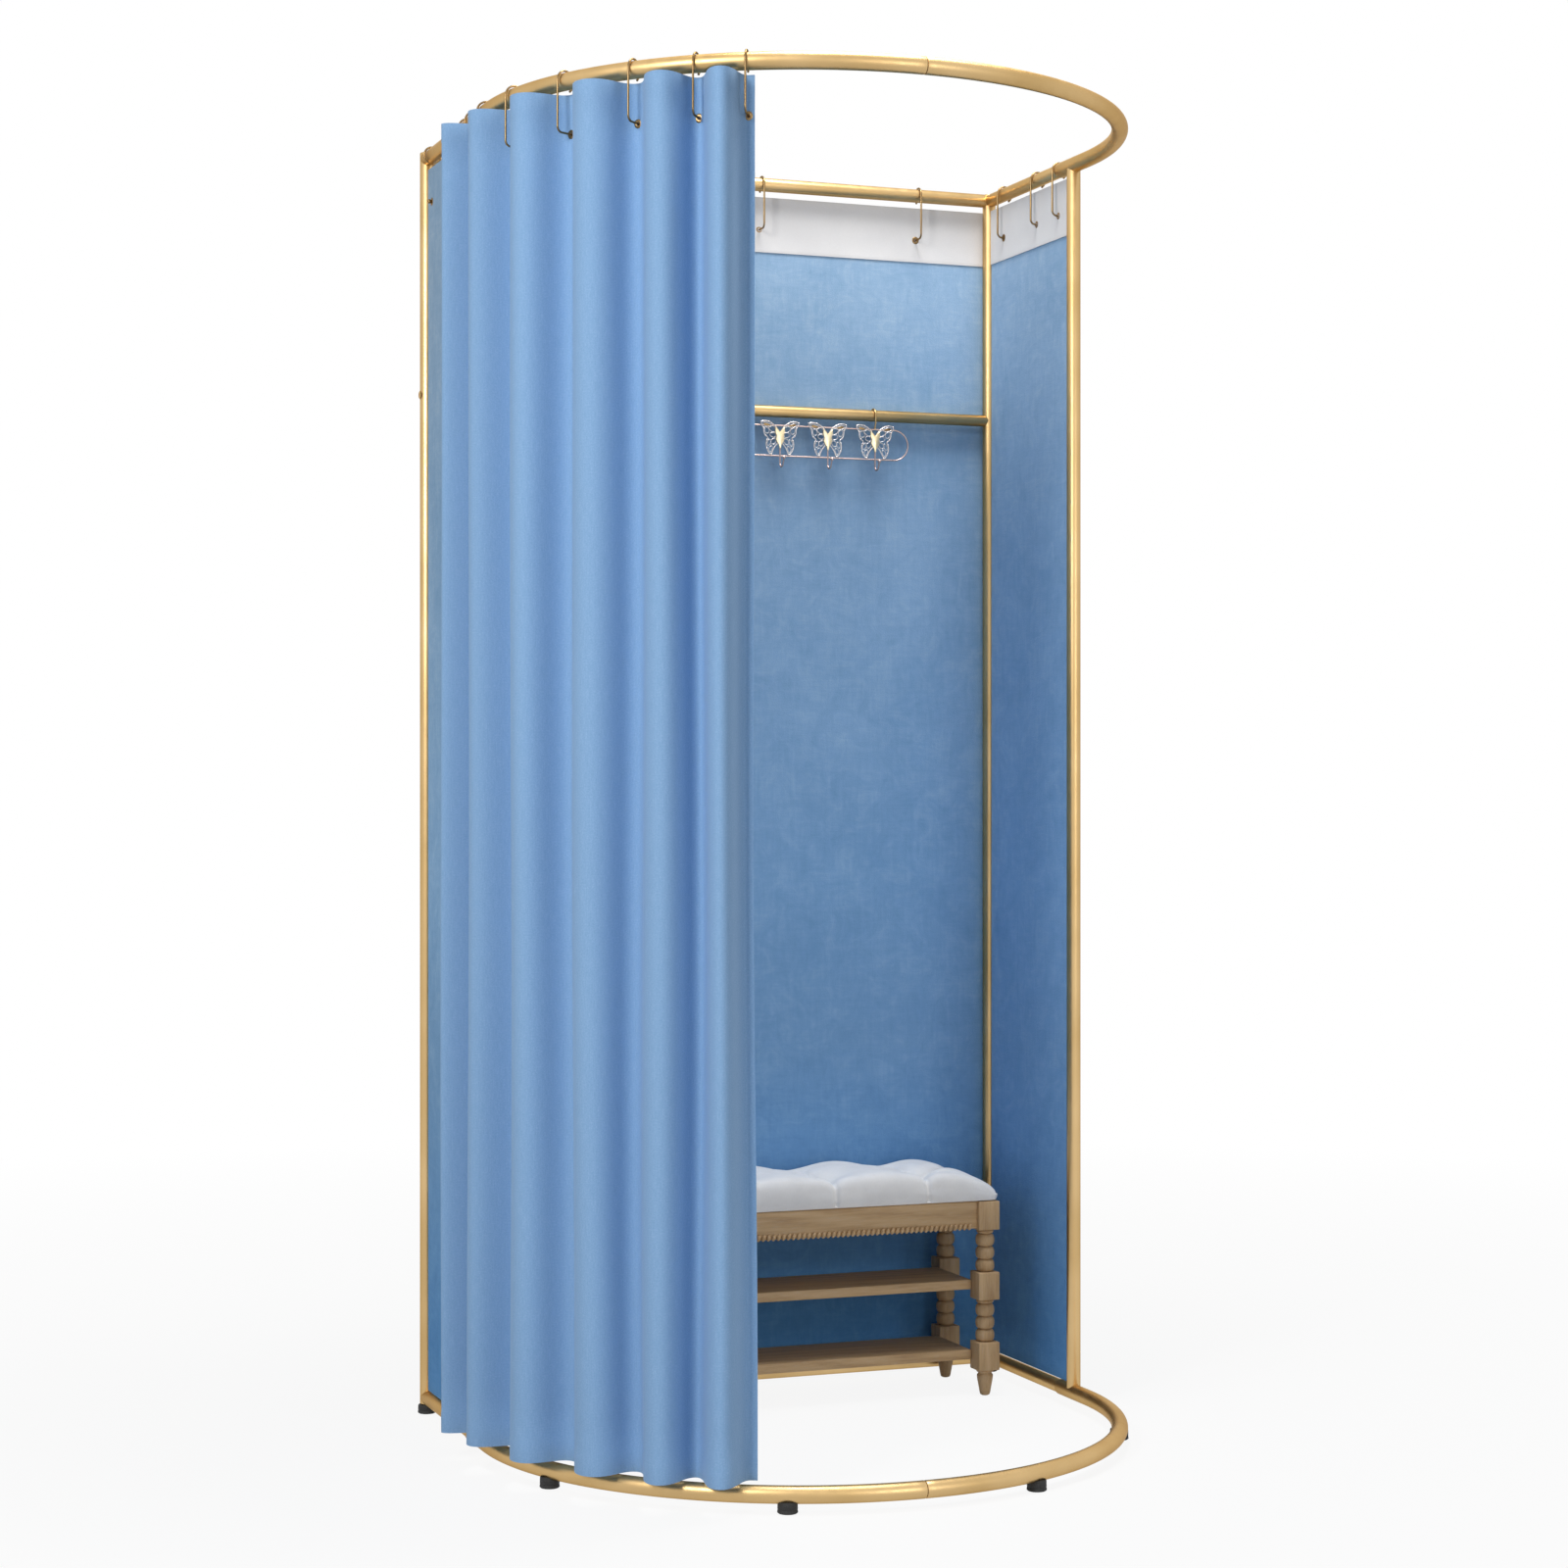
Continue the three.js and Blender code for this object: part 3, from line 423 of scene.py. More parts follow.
def turned(name, profile, place=(0, 0, 0), segments=40):
    """Turned form: a chain of points spun round the upright axis."""
    deselect_all()
    bpy.ops.mesh.primitive_plane_add(size=0.001)
    piece = take_piece(name)
    edit(piece)
    bpy.ops.mesh.merge(type="CENTER")
    x, y, z = place
    start_radius, start_height = profile[0]
    bpy.ops.transform.translate(value=(x + start_radius, y, z + start_height))
    for before, after in zip(profile, profile[1:]):
        run_straight((after[0] - before[0], 0, after[1] - before[1]))
    select_whole()
    run_round((x, y, z), (0, 0, 1), math.pi * 2, segments)
    select_whole()
    bpy.ops.mesh.remove_doubles(threshold=0.00001)
    leave_edit()
    return round_off(piece, 40)


def block(name, low, high, chamfer, segments=3):
    deselect_all()
    low, high = Vector(low), Vector(high)
    bpy.ops.mesh.primitive_cube_add(size=1, location=(low + high) / 2, scale=high - low)
    piece = take_piece(name)
    bevel(piece, chamfer, segments, 40)
    return round_off(piece, 50)


def ball(name, place, diameter, segments=16, rings=10):
    deselect_all()
    bpy.ops.mesh.primitive_uv_sphere_add(
        segments=segments, ring_count=rings, radius=diameter / 2, location=place)
    return round_off(take_piece(name), 60)


# Materials
class Paint:
    """A material's nodes, added one after another."""

    def __init__(self, name):
        self.material = bpy.data.materials.new(name)
        self.material.use_nodes = True
        self.tree = self.material.node_tree
        self.tree.nodes.clear()
        self.output = self.add("ShaderNodeOutputMaterial")
        self.shader = self.add("ShaderNodeBsdfPrincipled")
        self.feed(self.output.inputs["Surface"], self.shader.outputs[0])
        self.places = self.add("ShaderNodeTexCoord")

    def feed(self, socket, value):
        """Links a socket to another one, or sets a constant on it."""
        if isinstance(value, bpy.types.NodeSocket):
            self.tree.links.new(value, socket)
        else:
            socket.default_value = value

    def fill(self, node, **inputs):
        for name, value in inputs.items():
            self.feed(node.inputs[name.replace("_", " ")], value)

    def add(self, kind, **inputs):
        node = self.tree.nodes.new(kind)
        self.fill(node, **inputs)
        return node

    def coordinates(self, kind="Object", scale=(1, 1, 1)):
        mapping = self.add("ShaderNodeMapping", Scale=scale, Vector=self.places.outputs[kind])
        return mapping.outputs[0]

    def noise(self, vector, scale, detail=3.0, roughness=0.5, distortion=0.0):
        node = self.add("ShaderNodeTexNoise", Scale=scale, Detail=detail, Roughness=roughness,
                        Distortion=distortion, Vector=vector)
        return node.outputs["Fac"]

    def wave(self, vector, scale, distortion, detail, direction):
        node = self.add("ShaderNodeTexWave", Scale=scale, Distortion=distortion, Detail=detail,
                        Vector=vector)
        node.bands_direction = direction
        return node.outputs["Fac"]

    def ramp(self, factor, stops):
        node = self.add("ShaderNodeValToRGB", Fac=factor)
        elements = node.color_ramp.elements
        while len(elements) < len(stops):
            elements.new(0.5)
        for element, (place, colour) in zip(elements, stops):
            element.position = place
            element.color = (*colour, 1) if isinstance(colour, tuple) else (colour,) * 3 + (1,)
        return node.outputs["Color"]

    def mix(self, first, second, factor, blend="MIX"):
        node = self.add("ShaderNodeMix")
        assign(node, data_type="RGBA", blend_type=blend)
        for number, value in ((0, factor), (6, first), (7, second)):
            self.feed(node.inputs[number], value)
        return node.outputs[2]

    def math(self, operation, first, second):
        node = self.add("ShaderNodeMath")
        node.operation = operation
        for socket, value in zip(node.inputs, (first, second)):
            self.feed(socket, value)
        return node.outputs[0]

    def weigh(self, first, second, share):
        """First value by its share, and second by the rest."""
        return self.math("ADD", self.math("MULTIPLY", first, share),
                         self.math("MULTIPLY", second, 1 - share))

    def finish(self, height, strength, distance, **inputs):
        """Sets the shader and roughens it by a height."""
        bump = self.add("ShaderNodeBump", Strength=strength, Distance=distance, Height=height)
        self.fill(self.shader, Normal=bump.outputs[0], **inputs)
        return self.material


def plated_metal(name, light, deep, rough_low, rough_high):
    """Plated steel: slow colour drift, faint wear in the gloss, and fine draw marks."""
    paint = Paint(name)
    flat = paint.coordinates()
    drift = paint.noise(flat, 7.0, 2.0)
    wear = paint.noise(flat, 55.0, 5.0, 0.65)
    return paint.finish(
        paint.noise(flat, 900.0, 2.0), 0.03, 0.0002,
        Base_Color=paint.ramp(drift, [(0.3, deep), (0.72, light)]), Metallic=1.0,
        Specular_Tint=(0.62, 0.50, 0.38, 1),
        Roughness=paint.ramp(wear, [(0.32, rough_low), (0.75, rough_high)]))


def wall_cloth():
    """Crushed, lightly napped cloth: pale and deep patches crossed by level and upright rubs, with
    painted shade towards the floor and painted light towards the top.
    """
    paint = Paint("wall_cloth")
    flat = paint.coordinates()
    clouds = paint.noise(flat, 3.4, 4.0, 0.62, 0.6)
    level = paint.noise(paint.coordinates(scale=(14, 14, 90)), 1.6, 5.0, 0.74, 0.8)
    upright = paint.noise(paint.coordinates(scale=(90, 90, 11)), 1.5, 5.0, 0.72, 0.5)
    patches = paint.noise(flat, 21.0, 6.0, 0.75, 1.1)
    marks = paint.weigh(paint.weigh(level, upright, 0.5), patches, 0.5)
    cloudy = paint.ramp(clouds, [(0.30, (0.205, 0.400, 0.690)), (0.72, (0.305, 0.520, 0.830))])
    marked = paint.ramp(marks, [(0.38, (0.205, 0.395, 0.680)), (0.50, (0.290, 0.500, 0.815)),
                                (0.64, (0.470, 0.690, 0.940))])
    # Painted light and shade by height: the cloth is tinted darker and bluer low down and paler
    # high up, as if lit from above.
    height = paint.add("ShaderNodeSeparateXYZ", Vector=flat)
    nap_and_painted_light = paint.ramp(paint.math("DIVIDE", height.outputs["Z"], 2.0), [
        (0.06, (0.36, 0.60, 0.76)), (0.28, (0.76, 0.81, 0.81)), (0.42, (0.92, 0.94, 0.91)),
        (0.90, (1.0, 0.86, 0.74))])
    weave = paint.math("ADD", paint.noise(flat, 700.0, 2.0), paint.math("MULTIPLY", marks, 1.4))
    return paint.finish(
        weave, 0.35, 0.0012,
        Base_Color=paint.mix(paint.mix(cloudy, marked, 0.45), nap_and_painted_light, 1.0, "MULTIPLY"),
        Roughness=0.92, Specular_IOR_Level=0.15, Sheen_Weight=0.12, Sheen_Roughness=0.45,
        Sheen_Tint=(0.60, 0.80, 1.0, 1))


def curtain_cloth():
    """Plain woven cloth with a soft nap, its threads laid along the piece's own metres."""
    paint = Paint("curtain_cloth")
    laid = paint.coordinates("UV")
    across = paint.wave(laid, 260.0, 1.2, 2.0, "X")
    along = paint.wave(laid, 260.0, 1.2, 2.0, "Y")
    slub = paint.noise(paint.coordinates("UV", (90, 9, 1)), 6.0, 4.0, 0.6)
    specks = paint.noise(laid, 420.0, 3.0, 0.7)
    colour = paint.ramp(paint.weigh(slub, specks, 0.35), [
        (0.34, (0.213, 0.387, 0.637)), (0.52, (0.252, 0.432, 0.694)),
        (0.68, (0.313, 0.496, 0.751))])
    weave = paint.math("ADD", paint.math("ADD", across, along),
                       paint.math("MULTIPLY", specks, 1.5))
    return paint.finish(
        weave, 0.18, 0.0005, Base_Color=colour, Roughness=0.88, Specular_IOR_Level=0.15,
        Sheen_Weight=0.25, Sheen_Roughness=0.5, Sheen_Tint=(0.75, 0.88, 1.0, 1))


def band_cloth():
    paint = Paint("band_cloth")
    fibres = paint.noise(paint.coordinates(scale=(160, 160, 500)), 3.0, 5.0, 0.7)
    clouds = paint.noise(paint.coordinates(), 9.0, 3.0)
    colour = paint.ramp(paint.weigh(fibres, clouds, 0.5), [
        (0.35, (0.57, 0.56, 0.56)), (0.65, (0.655, 0.645, 0.64))])
    return paint.finish(fibres, 0.2, 0.0006, Base_Color=colour, Roughness=0.9, Sheen_Weight=0.15)


def cushion_cloth():
    paint = Paint("cushion_cloth")
    flat = paint.coordinates()
    nap_and_painted_light = paint.noise(flat, 650.0, 3.0, 0.7)
    clouds = paint.noise(flat, 26.0, 4.0, 0.6, 0.4)
    colour = paint.ramp(paint.weigh(nap_and_painted_light, clouds, 0.45), [
        (0.33, (0.79, 0.78, 0.77)), (0.66, (0.91, 0.90, 0.885))])
    return paint.finish(nap_and_painted_light, 0.25, 0.0006, Base_Color=colour, Roughness=0.8, Sheen_Weight=0.4,
                        Sheen_Roughness=0.4)


def limed_wood(name, grain_scale):
    """Limed oak: long grain, darker pores and pale filler in them."""
    paint = Paint(name)
    grain = paint.coordinates(scale=grain_scale)
    rings = paint.wave(grain, 0.9, 9.0, 4.0, "DIAGONAL")
    fibre = paint.noise(grain, 5.0, 6.0, 0.7, 0.5)
    pores = paint.noise(grain, 26.0, 3.0, 0.6)
    body = paint.ramp(paint.weigh(rings, fibre, 0.16), [
        (0.25, (0.380, 0.225, 0.102)), (0.50, (0.550, 0.362, 0.182)),
        (0.78, (0.650, 0.455, 0.258))])
    limed = paint.ramp(pores, [(0.55, 0.0), (0.72, 0.28)])
    return paint.finish(
        paint.math("ADD", fibre, pores), 0.22, 0.0006,
        Base_Color=paint.mix(body, (0.60, 0.52, 0.42, 1), limed),
        Roughness=paint.ramp(fibre, [(0.3, 0.5), (0.7, 0.68)]))


def moulded_rubber():
    paint = Paint("moulded_rubber")
    speck = paint.noise(paint.coordinates(), 420.0, 3.0)
    return paint.finish(speck, 0.2, 0.0004, Roughness=0.75,
                        Base_Color=paint.ramp(speck, [(0.35, 0.012), (0.7, 0.028)]))


gold, gold_wire, rose_gold, white_gold, pale_gold = (plated_metal(*values) for values in (
    ("gold_plate", (0.680, 0.480, 0.238), (0.545, 0.365, 0.156), 0.33, 0.47),
    ("gold_wire_plate", (0.300, 0.205, 0.100), (0.200, 0.130, 0.060), 0.28, 0.42),
    ("rose_gold_plate", (0.640, 0.480, 0.430), (0.500, 0.370, 0.330), 0.24, 0.40),
    ("white_gold_plate", (0.760, 0.720, 0.700), (0.620, 0.570, 0.540), 0.24, 0.40),
    ("pale_gold_plate", (0.900, 0.760, 0.500), (0.800, 0.640, 0.380), 0.28, 0.42)))
wall_blue = wall_cloth()
curtain_blue = curtain_cloth()
band_white = band_cloth()
cushion_white = cushion_cloth()
wood_upright = limed_wood("limed_wood_upright", (26, 26, 2.2))
wood_level = limed_wood("limed_wood_level", (2.2, 26, 26))
black_rubber = moulded_rubber()


# Tube frame
def finish_tube(piece, node, chamfer=tube_chamfer):
    end_round(piece, chamfer)
    finish_piece(piece, gold, "frame", node)


def gold_tube(name, node, start, end, diameter=tube_diameter, chamfer=tube_chamfer):
    start, end = Vector(start), Vector(end)
    piece = begin_round(name, start, end - start, diameter, tube_sides)
    run_straight(end - start)
    finish_tube(piece, node, chamfer)


def front_arc(name, node, hand, level):
    start = ring_point(hand * seam_gap / 2, 0, level)
    piece = begin_round(name, start, (hand, 0, 0), arc_diameter, tube_sides)
    run_round((booth_x, booth_y, level), (0, 0, 1), hand * math.pi / 2, arc_steps)
    run_straight((0, arc_tail, 0))
    finish_tube(piece, node)


def make_frame_tubes():
    rings = (("base", base_level), ("top", top_level))
    front = booth_y + front_post_setback
    for side, hand in sides:
        x = booth_x + hand * ring_radius
        for ring, level in rings:
            front_arc(f"{ring}_arc_{side}", f"{ring}_front_arc_{side}", hand, level)
            gold_tube(f"{ring}_side_{side}", f"{ring}_side_tube_{side}",
                      (x, booth_y + arc_tail - tail_overlap, level), (x, back_line, level))
        gold_tube(f"post_front_{side}", f"front_post_{side}",
                  (x, front, base_level), (x, front, top_level))
        gold_tube(f"post_corner_{side}", f"corner_post_{side}",
                  (x, back_line, base_level - tube_diameter / 2),
                  (x, back_line, top_level + tube_diameter / 2), chamfer=corner_post_chamfer)
    bars = [(f"{ring}_back", f"{ring}_back_tube", level, tube_diameter) for ring, level in rings]
    for name, node, level, diameter in [*bars, ("bar_back", "mid_bar", mid_bar_level,
                                                mid_bar_diameter)]:
        gold_tube(name, node, (booth_x - ring_radius, back_line, level),
                  (booth_x + ring_radius, back_line, level), diameter)


def make_bolts():
    for side, hand in sides:
        node = f"mid_bar_bolt_{side}"
        low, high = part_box(node)
        seat = (high if hand > 0 else low)[0]
        middle = box_middle(node)
        piece = turned(f"bolt_{side}", bolt_profile, segments=small_turn_steps)
        piece.data.transform(
            Matrix.Translation((seat - hand * bolt_set_in, middle.y, middle.z))
            @ Matrix.Rotation(hand * math.pi / 2, 4, "Y"))
        finish_piece(piece, gold, "frame", node)


def make_feet():
    for label in ("inner", "outer", "corner"):
        rise = (corner_foot_height if label == "corner"
                else base_level - arc_diameter / 2 + arc_foot_grip)
        profile = foot_base + [(radius, rise + height) for radius, height in foot_crown]
        for side, hand in sides:
            node = f"foot_{label}_{side}"
            middle = box_middle(node)
            piece = turned(f"rubber_{label}_{side}", profile, (middle.x, middle.y, 0), tube_sides)
            finish_piece(piece, black_rubber, "frame", node)


# Wire hooks: modelled once each at the origin, with X out of the booth, and then copied
def model_hook(name, carrier_radius, stem_hand, cloth_reach):
    ring = carrier_radius + ring_clearance + wire_diameter / 2
    stem = stem_hand * ring
    bend_hand = 1 if cloth_reach > stem else -1
    bend = bend_hand * hook_bend_radius
    level = eyelet_level - top_level
    bend_level = level + hook_bend_radius
    tip = cloth_reach + bend_hand * (curtain_thicknesses[0] / 2 + hook_tip_overhang)
    open_angle = math.pi * 2 * hook_open_share
    start_angle = math.pi + open_angle if stem_hand > 0 else -open_angle
    start = (ring * math.cos(start_angle), 0, ring * math.sin(start_angle))
    facing = (stem_hand * math.sin(start_angle), 0, -stem_hand * math.cos(start_angle))
    wire = begin_round(name, start, facing, wire_diameter)
    run_round((0, 0, 0), (0, stem_hand, 0), math.pi + open_angle, ring_steps)
    run_straight((0, 0, bend_level))
    run_round((stem + bend, 0, bend_level), (0, -bend_hand, 0), math.pi / 2, bend_steps)
    run_straight((tip - stem - bend, 0, 0))
    end_round(wire)
    knob = ball("knob", (tip, 0, level), hook_ball_diameter)
    collar = ball("collar", start, wire_diameter * hook_collar_swell, *collar_facets)
    return join([wire, knob, collar], name)


def model_eyelet(name, reach):
    """Pressed ring that lines the hole in the cloth, on both of its faces."""
    piece = turned(name, [*eyelet_profile, eyelet_profile[0]], segments=small_turn_steps)
    piece.data.transform(Matrix.Translation((reach, 0, eyelet_level - top_level))
                         @ Matrix.Rotation(math.pi / 2, 4, "Y"))
    return piece


def hang_hook(models, label, place, turn, body, node):
    """Copies a hook and its eyelet to a place, and gives the eyelet."""
    hook, eyelet = models
    matrix = Matrix.Translation(place) @ Matrix.Rotation(turn, 4, "Z")
    wire = copy_of(hook, f"wire_{label}", matrix)
    finish_piece(wire, gold_wire, body, node)
    ring = copy_of(eyelet, f"eyelet_{label.removeprefix('hook_')}", matrix)
    finish_piece(ring, gold_wire, body)
    return ring


def make_panel_hooks():
    back, side = ((model_hook("panel_hook", tube_diameter / 2, -1, reach),
                   model_eyelet("panel_eyelet", reach - wall_thicknesses[0] / 2))
                  for reach in (back_panel_reach, 0.0))
    rows = [("back", back, [(booth_x + share * ring_radius, back_line)
                            for share in back_hook_shares], math.pi / 2)]
    for row, hand, shares, turn in (("right", 1, right_hook_shares, 0),
                                    ("left", -1, left_hook_shares, math.pi)):
        rows.append((row, side, [(booth_x + hand * ring_radius, booth_y + share * side_length)
                                 for share in shares], turn))
    eyelets = {}
    for row, models, places, turn in rows:
        eyelets[row] = [hang_hook(models, f"hook_{row}_{number}", (x, y, top_level), turn, "frame",
                                  f"panel_hook_{row}_{number}")
                        for number, (x, y) in enumerate(places, 1)]
    discard(*back, *side)
    return eyelets


def hook_label(number):
    return "return" if number == 0 else str(number)


def curtain_body(number):
    """Body that carries curtain hook number, counted from the one behind the post."""
    return "frame" if number < 2 else f"curtain_slide_{number - 1}"


def make_curtain_hooks():
    carrier = arc_diameter / 2 + curtain_ring_slack
    outer, inner = ((model_hook("curtain_hook", carrier, 1, reach),
                     model_eyelet("curtain_eyelet", reach))
                    for reach in (return_edge_reach, curtain_valley_reach))
    rings = [hang_hook(inner if number else outer, f"curtain_{hook_label(number)}",
                       ring_point(travel, 0, top_level), outward_angle(travel),
                       curtain_body(number), f"curtain_hook_{hook_label(number)}")
             for number, travel in enumerate(curtain_travels)]
    discard(*outer, *inner)
    return rings


# Cloth sheets
def hem_steps(low, high, hem_low, hem_high, edge, middle_steps):
    """Places of a sheet's rows or columns, closer in its hems."""
    span = high - hem_high - low - hem_low
    return [low, low + edge, low + hem_low - hem_step, low + hem_low,
            *(low + hem_low + span * step / middle_steps for step in range(1, middle_steps)),
            high - hem_high, high - hem_high + hem_step, high - edge, high]


def lay_sheet(name, columns, rows, point, distance, thicknesses, side_lines=0):
    """Grid laid over columns and rows of places, with its own metres as UV, and thicker hems."""
    plain, hemmed = thicknesses
    across, up = len(columns) - 1, len(rows) - 1
    deselect_all()
    bpy.ops.mesh.primitive_grid_add(x_subdivisions=across, y_subdivisions=up, size=1)
    sheet = take_piece(name)
    hem = sheet.vertex_groups.new(name="hem")
    spots = []
    for vertex in sheet.data.vertices:
        column = round((vertex.co.x + 0.5) * across)
        row = round((vertex.co.y + 0.5) * up)
        spots.append((column, row))
        vertex.co = point(columns[column], rows[row])
        is_hem = (row < hem_lines or row > up - hem_lines
                  or column < side_lines or column > across - side_lines)
        hem.add([vertex.index], 1.0 if is_hem else plain / hemmed, "REPLACE")
    layer = sheet.data.uv_layers.active
    for loop in sheet.data.loops:
        column, row = spots[loop.vertex_index]
        layer.data[loop.index].uv = (distance[column], rows[row])
    apply_modifier(sheet, "SOLIDIFY", thickness=hemmed, offset=0.0, vertex_group="hem")
    edit(sheet)
    leave_edit()
    return round_off(sheet, 50)


# Curtain: strips from hook to hook, which share their edges
def hook_drift(number, height):
    """How far the cloth below a sliding hook wanders, and none below the fixed ones."""
    by_height, by_number = drift_turns
    return 0 if number < 2 else math.sin(height * by_height + number * by_number)


def fold_place(index, share, height):
    start, end = curtain_travels[index], curtain_travels[index + 1]
    turn = share * math.pi * 2
    wave = (1 - math.cos(turn)) / 2
    slip = (fold_lean_share * wave + fold_flank_share * math.sin(turn * 2)
            - fold_ridge_share * math.sin(turn))
    first_reach = curtain_valley_reach if index else return_edge_reach
    valley = curtain_valley_reach + (first_reach - curtain_valley_reach) * (1 - share) ** 2
    ridge = curtain_ridge_reach if index else return_ridge_reach
    below = min(max((eyelet_level - height) / fold_hang_run, 0), 1)
    hang = below * below * (3 - 2 * below)
    drift = fold_drift * hang * (hook_drift(index, height) * (1 - share)
                                 + hook_drift(index + 1, height) * share)
    by_height, by_index = swell_turns
    swell = 1 + fold_swell * hang * math.sin(height * by_height + index * by_index)
    return ring_point(start + (end - start) * (share + slip) + drift,
                      valley + (ridge * swell - valley) * wave, height)


def strip_columns(index, last):
    """Places across a strip: shares of it, and plain hem past its outer edge as (share, extra)."""
    columns = [(step / strip_steps, 0.0) for step in range(strip_steps + 1)]
    if index == 0:
        columns = [(0.0, -curtain_edge_hem * step / edge_steps)
                   for step in range(edge_steps, 0, -1)] + columns
    if index == last:
        columns += [(1.0, curtain_free_hem * step / edge_steps)
                    for step in range(1, edge_steps + 1)]
    return columns


def strip_point(index, column, height):
    share, extra = column
    place = fold_place(index, share, height)
    if extra:
        outward = outward_angle(curtain_travels[index if extra < 0 else index + 1])
        place += Vector((-math.sin(outward), math.cos(outward), 0)) * extra
    return place


def make_curtain(rings):
    last = len(curtain_travels) - 2
    middle = (cloth_low + cloth_high) / 2
    rows = hem_steps(cloth_low, cloth_high, *curtain_hems, edge_row, curtain_rows)
    reached = 0.0
    for index in range(last + 1):
        columns = strip_columns(index, last)
        points = [strip_point(index, column, middle) for column in columns]
        distance = [reached]
        for before, after in zip(points, points[1:]):
            distance.append(distance[-1] + (after - before).length)
        label = f"fold_{index}" if index else "return"
        sheet = lay_sheet(
            f"cloth_{label}", columns, rows,
            lambda column, height: strip_point(index, column, height), distance,
            curtain_thicknesses)
        finish_piece(sheet, curtain_blue, None if index else "frame",
                     f"curtain_{label}")
        if index > 0:
            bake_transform(sheet)
        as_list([rings[index + 1]] if index else rings[:2])
        reached = distance[-1]


# Walls: taut sheets with a white band sewn along the inside of their tops
def wall_ripple(along, height, low, high):
    """How far a wall stands off its plane: flat at its ends, with shallow swells between them."""
    ease = math.sin(math.pi * min(max((along - low) / (high - low), 0), 1))
    swell = sum(size * math.sin(along * by_place + height * by_height)
                for size, by_place, by_height in ripples)
    return ripple_depth * ease * swell


def wall_sheet(name, node, material, axis, hems, thicknesses):
    low, high = box(node)
    start, end = low[axis], high[axis]
    span = end - start
    tall = high.z - low.z
    face = (low[1 - axis] + high[1 - axis]) / 2
    columns = hem_steps(start, end, side_hem, side_hem, edge_column,
                        max(int(span / wall_column), fewest_columns))
    rows = hem_steps(low.z, high.z, *hems, edge_row, max(int(tall / wall_row), fewest_rows))

    def point(along, height):
        place = Vector((0, 0, height))
        place[axis] = along
        place[1 - axis] = face + wall_ripple(along, height, start, end)
        return place

    sheet = lay_sheet(name, columns, rows, point, [column - start for column in columns],
                      thicknesses, hem_lines)
    finish_piece(sheet, material, "frame", node)


def make_walls():
    for row, axis, wall, band in (("back", 0, "back_panel", "back_header"),
                                  ("left", 1, "side_panel_left", "side_header_left"),
                                  ("right", 1, "side_panel_right", "side_header_right")):
        wall_sheet(f"wall_{row}", wall, wall_blue, axis, wall_hems,
                   wall_thicknesses)
        wall_sheet(f"band_{row}", band, band_white, axis,
                   band_hems, band_thicknesses)


# Butterfly rack: outlines in shares of half its width, and of its height
wing_outline = [
    (0.05, 0.13), (0.16, 0.24), (0.34, 0.34), (0.58, 0.41), (0.82, 0.43), (1.0, 0.40),
    (0.97, 0.31), (0.88, 0.24), (0.86, 0.12), (0.78, 0.03), (0.64, -0.03), (0.70, -0.10),
    (0.74, -0.20), (0.69, -0.33), (0.60, -0.43), (0.47, -0.48), (0.40, -0.40), (0.30, -0.29),
    (0.20, -0.22), (0.07, -0.13),
]
wing_cells = [
    [(0.44, 0.30), (0.62, 0.36), (0.82, 0.39), (0.93, 0.365), (0.84, 0.30), (0.62, 0.275)],
    [(0.20, 0.18), (0.38, 0.30), (0.58, 0.27), (0.52, 0.18), (0.34, 0.13)],
    [(0.62, 0.235), (0.80, 0.24), (0.80, 0.14), (0.70, 0.08), (0.57, 0.13)],
    [(0.22, 0.08), (0.42, 0.12), (0.54, 0.06), (0.44, 0.00), (0.26, -0.01)],
    [(0.20, -0.07), (0.38, -0.06), (0.50, -0.14), (0.36, -0.21), (0.24, -0.15)],
    [(0.52, -0.07), (0.64, -0.12), (0.66, -0.24), (0.54, -0.22), (0.47, -0.12)],
    [(0.40, -0.26), (0.54, -0.28), (0.60, -0.36), (0.49, -0.42), (0.42, -0.35)],
]
body_outline = [
    (0.0, 0.13), (0.10, 0.21), (0.25, 0.28), (0.27, 0.13), (0.20, 0.03), (0.24, -0.07),
    (0.15, -0.17), (0.08, -0.21), (0.05, -0.30), (0.0, -0.34),
]


def butterfly_place(across, depth, up):
    return across * butterfly_width / 2, depth, up * butterfly_height


def wire_loop(name, points, diameter, hand):
    """Closed loop of fine wire through flat points, with the corners rounded."""
    shape = bpy.data.curves.new(name, "CURVE")
    assign(shape, dimensions="3D", bevel_depth=diameter / 2, bevel_resolution=1, resolution_u=2)
    spline = shape.splines.new("BEZIER")
    spline.bezier_points.add(len(points) - 1)
    for spot, (across, up) in zip(spline.bezier_points, points):
        assign(spot, co=butterfly_place(hand * across, 0, up), handle_left_type="AUTO",
               handle_right_type="AUTO")
    spline.use_cyclic_u = True
    piece = bpy.data.objects.new(name, shape)
    bpy.context.collection.objects.link(piece)
    pick(piece)
    bpy.ops.object.convert(target="MESH")
    return bpy.context.object


def flat_plate(name, points, thickness, chamfer):
    """Plate cut to an outline, upright and facing the front."""
    deselect_all()
    bpy.ops.mesh.primitive_circle_add(vertices=len(points), radius=0.01, fill_type="NGON")
    piece = take_piece(name)
    for vertex, (across, up) in zip(piece.data.vertices, points):
        vertex.co = butterfly_place(across, thickness / 2, up)
    edit(piece)
    run_straight((0, -thickness, 0))
    leave_edit()
    bevel(piece, chamfer, 2, 50)
    return round_off(piece, 60)


